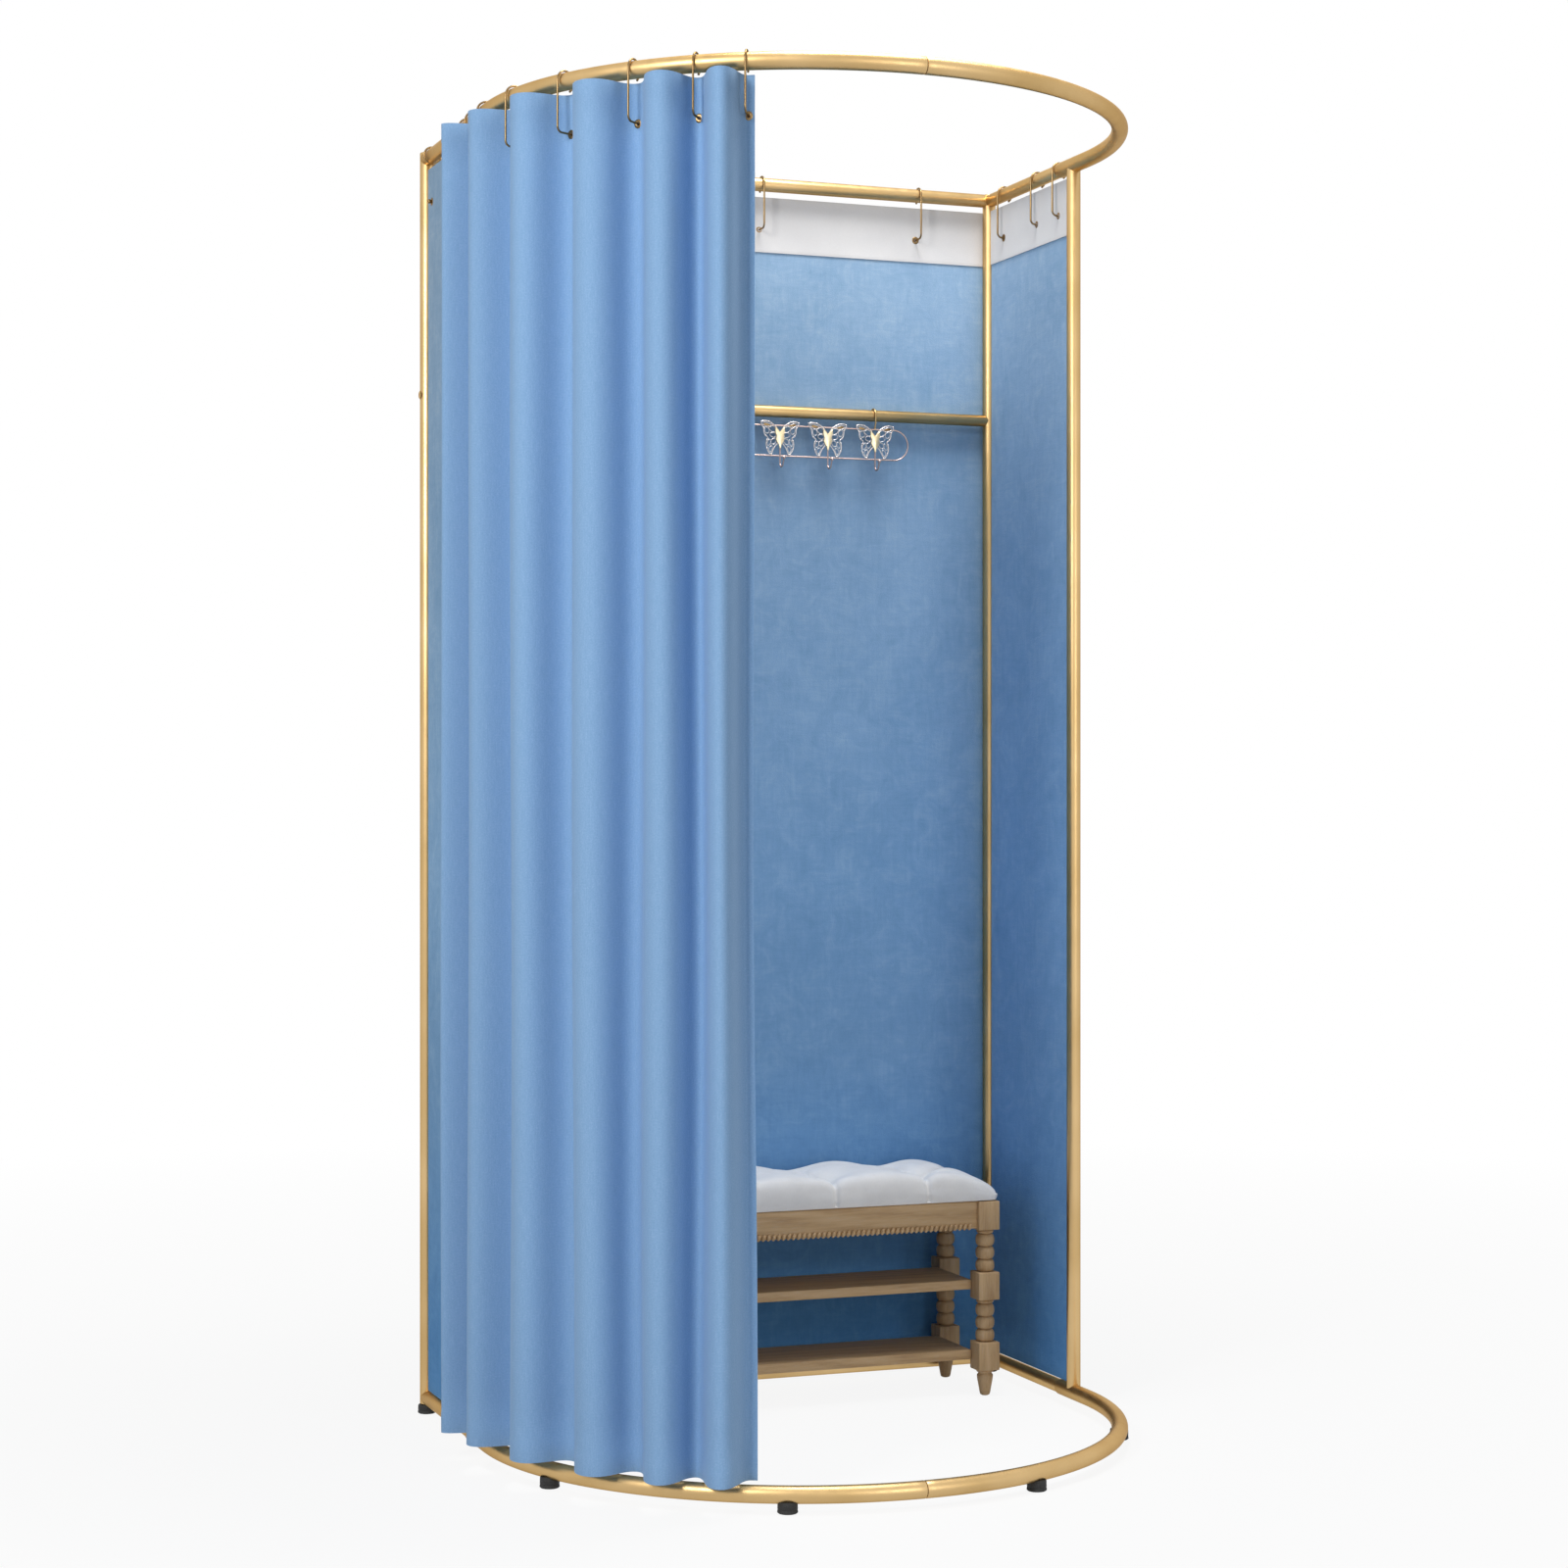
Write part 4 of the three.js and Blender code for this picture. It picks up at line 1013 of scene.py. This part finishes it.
def model_butterfly():
    """Wings of wire with beads on their edge, a body, and two leaves in the upper wings."""
    wires, leaves = [], []
    middle_across, middle_up = leaf_middle
    for hand in (-1, 1):
        wires.append(wire_loop("wing_edge", wing_outline, wing_edge_wire, hand))
        wires += [wire_loop("wing_cell", cell, wing_cell_wire, hand) for cell in wing_cells]
        wires += [ball("bead", butterfly_place(hand * across, 0, up), wing_bead, *bead_facets)
                  for across, up in wing_outline[3:16:2]]
        leaf = [(hand * (middle_across + (across - middle_across) * leaf_scale[0]),
                 middle_up + (up - middle_up) * leaf_scale[1]) for across, up in wing_cells[0]]
        leaves.append(flat_plate("leaf", leaf[::hand], *leaf_plate))
    mirrored = [(-across, up) for across, up in body_outline[-2:0:-1]]
    body = flat_plate("butterfly_body", body_outline + mirrored, *body_plate)
    return join(wires, "wings"), body, join(leaves, "wing_leaves")


def model_rack_hook():
    radius = rack_hook_bend
    bend_level = radius - rack_hook_drop
    lift = rack_hook_reach - radius
    wire = begin_round("rack_hook", (0, 0, rack_hook_root), (0, 0, -1), rack_wire_diameter)
    run_straight((0, 0, bend_level - rack_hook_root))
    run_round((0, -radius, bend_level), (1, 0, 0), -rack_hook_turn, hook_turn_steps)
    run_straight((0, -lift / 2, lift))
    end_round(wire)
    tip_y = -radius - radius * math.cos(math.pi - rack_hook_turn) - lift / 2
    tip_z = bend_level - radius * math.sin(rack_hook_turn) + lift
    return join([wire, ball("knob", (0, tip_y, tip_z), rack_ball_diameter)], "rack_hook")


def make_rack_loop(centre_x, plane, middle_level):
    """Closed wire: two level runs with a half turn at each end."""
    end_radius = rack_drop / 2
    straight_end = rack_half_length - end_radius
    loop = begin_round("rack_loop", (centre_x - straight_end, plane, middle_level + end_radius),
                       (1, 0, 0), rack_wire_diameter)
    for hand in (1, -1):
        run_straight((hand * straight_end * 2, 0, 0))
        run_round((centre_x + hand * straight_end, plane, middle_level), (0, 1, 0), math.pi,
                  loop_steps)
    return end_round(loop)


def make_hanger(x):
    """Ring over the bar, with a stem down and forward to the loop."""
    ring = mid_bar_diameter / 2 + ring_clearance + rack_wire_diameter / 2
    start_angle = -math.pi * hook_open_share
    start = (x, back_line + ring * math.cos(start_angle),
             mid_bar_level + ring * math.sin(start_angle))
    hanger = begin_round("hanger", start, (0, -math.sin(start_angle), math.cos(start_angle)),
                         rack_wire_diameter)
    run_round((x, back_line, mid_bar_level), (1, 0, 0), math.pi - start_angle, loop_steps)
    run_straight((0, 0, -rack_hang / 2))
    run_straight((0, ring - rack_setback, -rack_hang / 2))
    return end_round(hanger)


def make_rack():
    middle_level = mid_bar_level - rack_hang - rack_drop / 2
    plane = back_line - rack_setback
    centre_x = booth_x + rack_centre
    pitch = (rack_half_length - rack_end_room) * 2 / (butterfly_count - 1)
    wires = [make_rack_loop(centre_x, plane, middle_level)]
    wings, bodies, leaves = [], [], []
    wing, body, leaf = model_butterfly()
    hook = model_rack_hook()
    front = plane - rack_wire_diameter / 2
    for index in range(butterfly_count):
        x = centre_x + (index - (butterfly_count - 1) / 2) * pitch
        place = Matrix.Translation((x, front, middle_level + butterfly_rise))
        wings.append(copy_of(wing, "wing_copy", place))
        wires.append(copy_of(hook, "hook_copy", place))
        bodies.append(copy_of(body, "body_copy", place @ Matrix.Translation((0, -body_stand, 0))))
        leaves.append(copy_of(leaf, "leaf_copy", place))
    hangers = [make_hanger(centre_x + hand * (butterfly_count - 1) / 2 * pitch)
               for side, hand in sides]
    discard(wing, body, leaf, hook)
    for pieces, name, metal, node in (
            (wires, "rack_wires", rose_gold, "butterfly_rack"),
            (wings, "rack_wings", white_gold, None), (bodies, "rack_bodies", pale_gold, None),
            (leaves, "rack_leaves", gold_wire, None), (hangers, "rack_hangers", gold, None)):
        finish_piece(join(pieces, name), metal, "frame", node)


# Bench
def swelling(low, height, core, bulge, roundness, fullness, steps):
    """Part of a turned profile that swells from its core and goes back to it."""
    angles = [math.pi * step / steps for step in range(steps + 1)]
    return [(core + bulge * math.sin(angle) ** roundness,
             low + height / 2 - height / 2 * fullness * math.cos(angle)) for angle in angles]


def bead_profile(low, height, core):
    pitch = (height - leg_collar_height) / beads_in_run
    bulge = bead_diameter / 2 - core
    profile = []
    for index in range(beads_in_run):
        profile += swelling(low + pitch * index, pitch, core, bulge, roundness=0.75,
                            fullness=0.97, steps=8)
    return profile + swelling(low + height - leg_collar_height, leg_collar_height, core,
                              bulge * leg_collar_swell, roundness=1, fullness=0.95, steps=4)


def make_leg(name, node):
    middle = box_middle(node)
    x, y = middle.x, middle.y
    core = bead_neck_diameter / 2
    half = leg_block / 2
    parts = [block(f"{name}_block_{number}", (x - half, y - half, low), (x + half, y + half, high),
                   leg_block_chamfer) for number, (low, high) in enumerate(block_heights)]
    for number, (below, above) in enumerate(zip(block_heights, block_heights[1:])):
        low, high = below[1], above[0]
        start, end = low - leg_overlap, high + leg_overlap
        profile = [(0, start), (core, start), *bead_profile(low, high - low, core), (core, end),
                   (0, end)]
        parts.append(turned(f"{name}_beads_{number}", profile, (x, y, 0)))
    parts.append(turned(f"{name}_foot", leg_foot_profile, (x, y, 0)))
    finish_piece(join(parts, name), wood_upright, "bench", node)


def make_bench_frame():
    low, high = box("bench_seat_frame")
    board, inset = apron_thickness, seat_board_inset
    parts = [block(f"apron_{name}", (start_x, start_y, low.z), (end_x, end_y, high.z - inset),
                   apron_chamfer)
             for name, start_x, start_y, end_x, end_y in (
                 ("front", low.x, low.y, high.x, low.y + board),
                 ("back", low.x, high.y - board, high.x, high.y),
                 ("left", low.x, low.y, low.x + board, high.y),
                 ("right", high.x - board, low.y, high.x, high.y))]
    parts.append(block("seat_board", (low.x + inset, low.y + inset, high.z - seat_board_thickness),
                       (high.x - inset, high.y - inset, high.z), apron_chamfer))
    pearl = ball("pearl", (0, 0, 0), pearl_width, *bead_facets)
    tall = Matrix.Diagonal((1, 1, pearl_height / pearl_width, 1))
    pearl.data.transform(Matrix.Rotation(pearl_lean, 4, "Y") @ tall)
    for axis in (0, 1):
        count = int((high[axis] - low[axis] - leg_block * 2) / pearl_pitch)
        for face in (low[1 - axis] - pearl_stand, high[1 - axis] + pearl_stand):
            for number in range(count):
                place = Vector((0, 0, low.z + pearl_rise))
                place[axis] = ((low[axis] + high[axis]) / 2
                               + (number - (count - 1) / 2) * pearl_pitch)
                place[1 - axis] = face
                parts.append(copy_of(pearl, "pearl_copy", Matrix.Translation(place)))
    discard(pearl)
    finish_piece(join(parts, "bench_frame"), wood_level, "bench",
                 "bench_seat_frame")


def make_shelves():
    for level in ("low", "high"):
        node = f"bench_shelf_{level}"
        board = block(f"shelf_{level}", *box(node), shelf_chamfer, 4)
        finish_piece(board, wood_level, "bench", node)


# Cushion
def tuft_places(middle):
    rows = ((front_tuft_start, front_tuft_count, -1), (back_tuft_start, back_tuft_count, 1))
    places = [Vector((middle.x + start + number * tuft_pitch, middle.y + hand * tuft_row_offset, 0))
              for start, count, hand in rows for number in range(count)]
    return sorted(places, key=lambda place: place.x)


def crease_lines(tufts, low, high):
    """Level lines (x, y to x, y) of the creases between the buttons and out to the edges."""
    middle_y = (low.y + high.y) / 2
    front = [tuft for tuft in tufts if tuft.y < middle_y]
    back = [tuft for tuft in tufts if tuft.y > middle_y]
    lines = [(one.x, one.y, two.x, two.y) for one in front for two in back
             if abs(one.x - two.x) < tuft_pitch * crease_longest_share]
    lines += [(tuft.x, tuft.y, tuft.x, low.y - crease_overrun) for tuft in front]
    for tuft, end in ((tufts[0], low.x - crease_overrun), (tufts[-1], high.x + crease_overrun)):
        lines += [(tuft.x, tuft.y, end, y)
                  for y in (low.y + crease_corner, high.y - crease_corner)]
    return lines


def line_distance(x, y, line):
    start_x, start_y, end_x, end_y = line
    run_x, run_y = end_x - start_x, end_y - start_y
    share = ((x - start_x) * run_x + (y - start_y) * run_y) / (run_x * run_x + run_y * run_y)
    share = min(max(share, 0.0), 1.0)
    return math.hypot(x - start_x - run_x * share, y - start_y - run_y * share)


def sew_creases(pad, lines, low):
    """Draws the cover in along its creases."""
    reach = crease_width * crease_spread
    normals = [vertex.normal.copy() for vertex in pad.data.vertices]
    for vertex, normal in zip(pad.data.vertices, normals):
        x, y, z = vertex.co
        if z < low.z + crease_foot:
            continue
        near = [line for line in lines
                if min(line[0], line[2]) - reach < x < max(line[0], line[2]) + reach]
        distance = min((line_distance(x, y, line) for line in near), default=reach)
        if distance < reach:
            vertex.co -= normal * crease_depth * bell(distance / crease_width)


def bell(distance):
    """One at no distance, falling off smoothly."""
    return math.exp(-(distance ** 2))


def row_wave(x, start):
    """One at a row's buttons and nothing half way between them."""
    return 0.5 + 0.5 * math.cos((x - start) / tuft_pitch * math.pi * 2)


def rows_fall(x, y, middle):
    """How far the pad's two long rolls sink between the button rows and its edges."""
    front = (y - middle.y + tuft_row_offset) / row_dip_reach
    back = min(y - middle.y - tuft_row_offset, 0) / row_dip_reach
    return row_dip * (row_wave(x - middle.x, front_tuft_start) * bell(front)
                      + row_wave(x - middle.x, back_tuft_start) * bell(back))


def puff_fall(x, y, low, high, tufts, lines):
    """How far a place on the pad's top sinks: at its buttons, along its creases and at its ends."""
    button = min(math.hypot(x - tuft.x, y - tuft.y) for tuft in tufts)
    crease = min(line_distance(x, y, line) for line in lines)
    end = max(abs(x - (low.x + high.x) / 2) - (high.x - low.x) / 2 + end_slope_run, 0)
    side = max(abs(y - (low.y + high.y) / 2) - (high.y - low.y) / 2 + side_slope_run, 0)
    side /= side_slope_run
    return (button_fall * bell(button / button_reach) + crease_fall * bell(crease / crease_reach)
            + rows_fall(x, y, (low + high) / 2)
            + end_fall * (end / end_slope_run) ** end_curve + side_fall * side * side)


def blow_up(pad):
    """Blows the cover up as cloth that is held at its pins, and keeps each place near its start."""
    rest = [vertex.co.copy() for vertex in pad.data.vertices]
    puff = pad.modifiers.new("Cloth", "CLOTH")
    assign(puff.settings, use_pressure=True, uniform_pressure_force=4.0, vertex_group_mass="pins",
           tension_stiffness=25.0, compression_stiffness=12.0, shear_stiffness=10.0,
           bending_stiffness=1.2)
    puff.settings.effector_weights.gravity = 0.0
    assign(puff.point_cache, frame_start=1, frame_end=puff_frames)
    for step in range(1, puff_frames + 1):
        bpy.context.scene.frame_set(step)
    pick(pad)
    bpy.ops.object.modifier_apply(modifier=puff.name)
    for vertex, start in zip(pad.data.vertices, rest):
        move = vertex.co - start
        if move.length > puff_limit:
            vertex.co = start + move * (puff_limit / move.length)
    bpy.context.scene.frame_set(1)


def make_cushion():
    """Padded seat: a rounded block drawn down at its buttons and blown up between them."""
    low, high = box("bench_cushion")
    draw_in = Vector((pad_draw_in, pad_draw_in, 0))
    top = high.z - pad_top_room
    pad = block("seat_pad", low + draw_in, Vector((high.x, high.y, top)) - draw_in, pad_edge, 5)
    for vertex in pad.data.vertices:
        rise = vertex.co.z - low.z
        if rise < pad_edge:
            vertex.co.z = low.z + rise * pad_foot / pad_edge
    apply_modifier(pad, "REMESH", mode="VOXEL", voxel_size=pad_voxel)
    tufts = tuft_places((low + high) / 2)
    lines = crease_lines(tufts, low, high)
    pins = pad.vertex_groups.new(name="pins")
    for vertex in pad.data.vertices:
        x, y, z = vertex.co
        rise = (z - low.z) / (top - low.z)
        nearest = min(math.hypot(x - tuft.x, y - tuft.y) for tuft in tufts)
        if rise > fall_from:
            share = min((rise - fall_from) / fall_run, 1)
            vertex.co.z -= share * puff_fall(x, y, low, high, tufts, lines)
        if rise < pinned_rise or (rise > pinned_button_rise and nearest < pinned_reach):
            pins.add([vertex.index], 1.0, "REPLACE")
    blow_up(pad)
    apply_modifier(pad, "SUBSURF", levels=1, render_levels=1)
    sew_creases(pad, lines, low)
    round_off(pad, 60)
    finish_piece(pad, cushion_white, "bench", "bench_cushion")
    make_buttons(pad, tufts, low)


def make_buttons(pad, tufts, low):
    """Covered buttons that sit in the bottoms of the dimples."""
    button = turned("button", button_profile, segments=button_steps)
    buttons = []
    for tuft in tufts:
        spots = [vertex.co.z for vertex in pad.data.vertices
                 if vertex.co.z > low.z + button_lowest
                 and math.hypot(vertex.co.x - tuft.x, vertex.co.y - tuft.y) < button_seat]
        place = (tuft.x, tuft.y, sum(spots) / len(spots))
        buttons.append(copy_of(button, "button_copy", Matrix.Translation(place)))
    discard(button)
    finish_piece(join(buttons, "seat_buttons"), cushion_white, "bench")


# Studio
def direct_rays(tree):
    """One where the camera, metal or glass sees the background, and none for the light it gives."""
    rays = tree.nodes.new("ShaderNodeLightPath")
    seen = rays.outputs["Is Camera Ray"]
    for kind in ("Is Glossy Ray", "Is Transmission Ray"):
        added = tree.nodes.new("ShaderNodeMath")
        added.operation = "ADD"
        tree.links.new(seen, added.inputs[0])
        tree.links.new(rays.outputs[kind], added.inputs[1])
        seen = added.outputs[0]
    return seen


def mix_shaders(tree, factor, first, second, output):
    mixed = tree.nodes.new("ShaderNodeMixShader")
    for start, end in zip((factor, first.outputs[0], second.outputs[0]), mixed.inputs):
        tree.links.new(start, end)
    tree.links.new(mixed.outputs[0], output.inputs["Surface"])


def make_floor():
    """Pale floor that looks nearly white to the camera and keeps the shadow."""
    deselect_all()
    bpy.ops.mesh.primitive_plane_add(size=floor_size, location=(0, 0, 0))
    floor = take_piece("studio_floor")
    paint = Paint("studio_floor")
    tone = paint.noise(paint.coordinates(), 1.5, 2.0)
    paint.fill(paint.shader, Base_Color=paint.ramp(tone, [(0.3, 0.66), (0.7, 0.68)]),
               Roughness=0.9)
    away = paint.add("ShaderNodeVectorMath")
    away.operation = "LENGTH"
    paint.feed(away.inputs[0], paint.coordinates())
    lift = paint.ramp(paint.math("DIVIDE", away.outputs["Value"], floor_fade),
                      [(0.2, floor_lift), (1.0, 1.0)])
    mix_shaders(paint.tree, paint.math("MULTIPLY", direct_rays(paint.tree), lift), paint.shader,
                paint.add("ShaderNodeEmission"), paint.output)
    floor.data.materials.append(paint.material)


def make_world():
    """Soft grey room light that looks white to the camera."""
    world = bpy.context.scene.world or bpy.data.worlds.new("studio")
    bpy.context.scene.world = world
    world.use_nodes = True
    tree = world.node_tree
    tree.nodes.clear()
    soft = tree.nodes.new("ShaderNodeBackground")
    soft.inputs["Color"].default_value = (0.95, 0.97, 1.0, 1)
    soft.inputs["Strength"].default_value = room_light
    white = tree.nodes.new("ShaderNodeBackground")
    white.inputs["Color"].default_value = (1, 1, 1, 1)
    mix_shaders(tree, direct_rays(tree), soft, white, tree.nodes.new("ShaderNodeOutputWorld"))


def add_lamp(name, place, target, size, power, colour=(1, 1, 1)):
    lamp = bpy.data.lights.new(name, "AREA")
    assign(lamp, shape="RECTANGLE", size=size[0], size_y=size[1], energy=power, color=colour)
    holder = bpy.data.objects.new(name, lamp)
    holder.location = place
    holder.rotation_euler = (Vector(target) - Vector(place)).to_track_quat("-Z", "Y").to_euler()
    bpy.context.collection.objects.link(holder)


def make_lights():
    add_lamp("key", (-3.1, -2.3, 2.9), (0, 0, 1.15), (0.9, 1.6), 105, (1.0, 0.985, 0.96))
    add_lamp("fill", (1.2, -4.6, 1.6), (0, 0, 1.0), (1.6, 2.2), 34)
    add_lamp("top", (0.26, -0.12, 3.35), (0.1, 0.15, 0), (0.9, 0.7), 51)


def make_camera():
    lens = bpy.data.cameras.new("camera")
    lens.sensor_width = sensor_width
    lens.lens = sensor_width * focal_pixels / frame_pixels
    holder = bpy.data.objects.new("camera", lens)
    holder.location = (booth_x - camera_left, booth_y - camera_forward, camera_height)
    holder.rotation_euler = (math.pi / 2, 0, -math.radians(camera_yaw))
    bpy.context.collection.objects.link(holder)
    bpy.context.scene.camera = holder


bpy.context.scene.view_settings.view_transform = "Standard"
make_camera()
make_frame_tubes()
make_bolts()
make_feet()
panel_eyelets = make_panel_hooks()
make_curtain(make_curtain_hooks())
make_walls()
make_rack()
for corner in ("front_left", "back_left", "front_right", "back_right"):
    make_leg(f"leg_{corner}", f"bench_leg_{corner}")
make_bench_frame()
make_shelves()
make_cushion()
make_floor()
make_world()
make_lights()
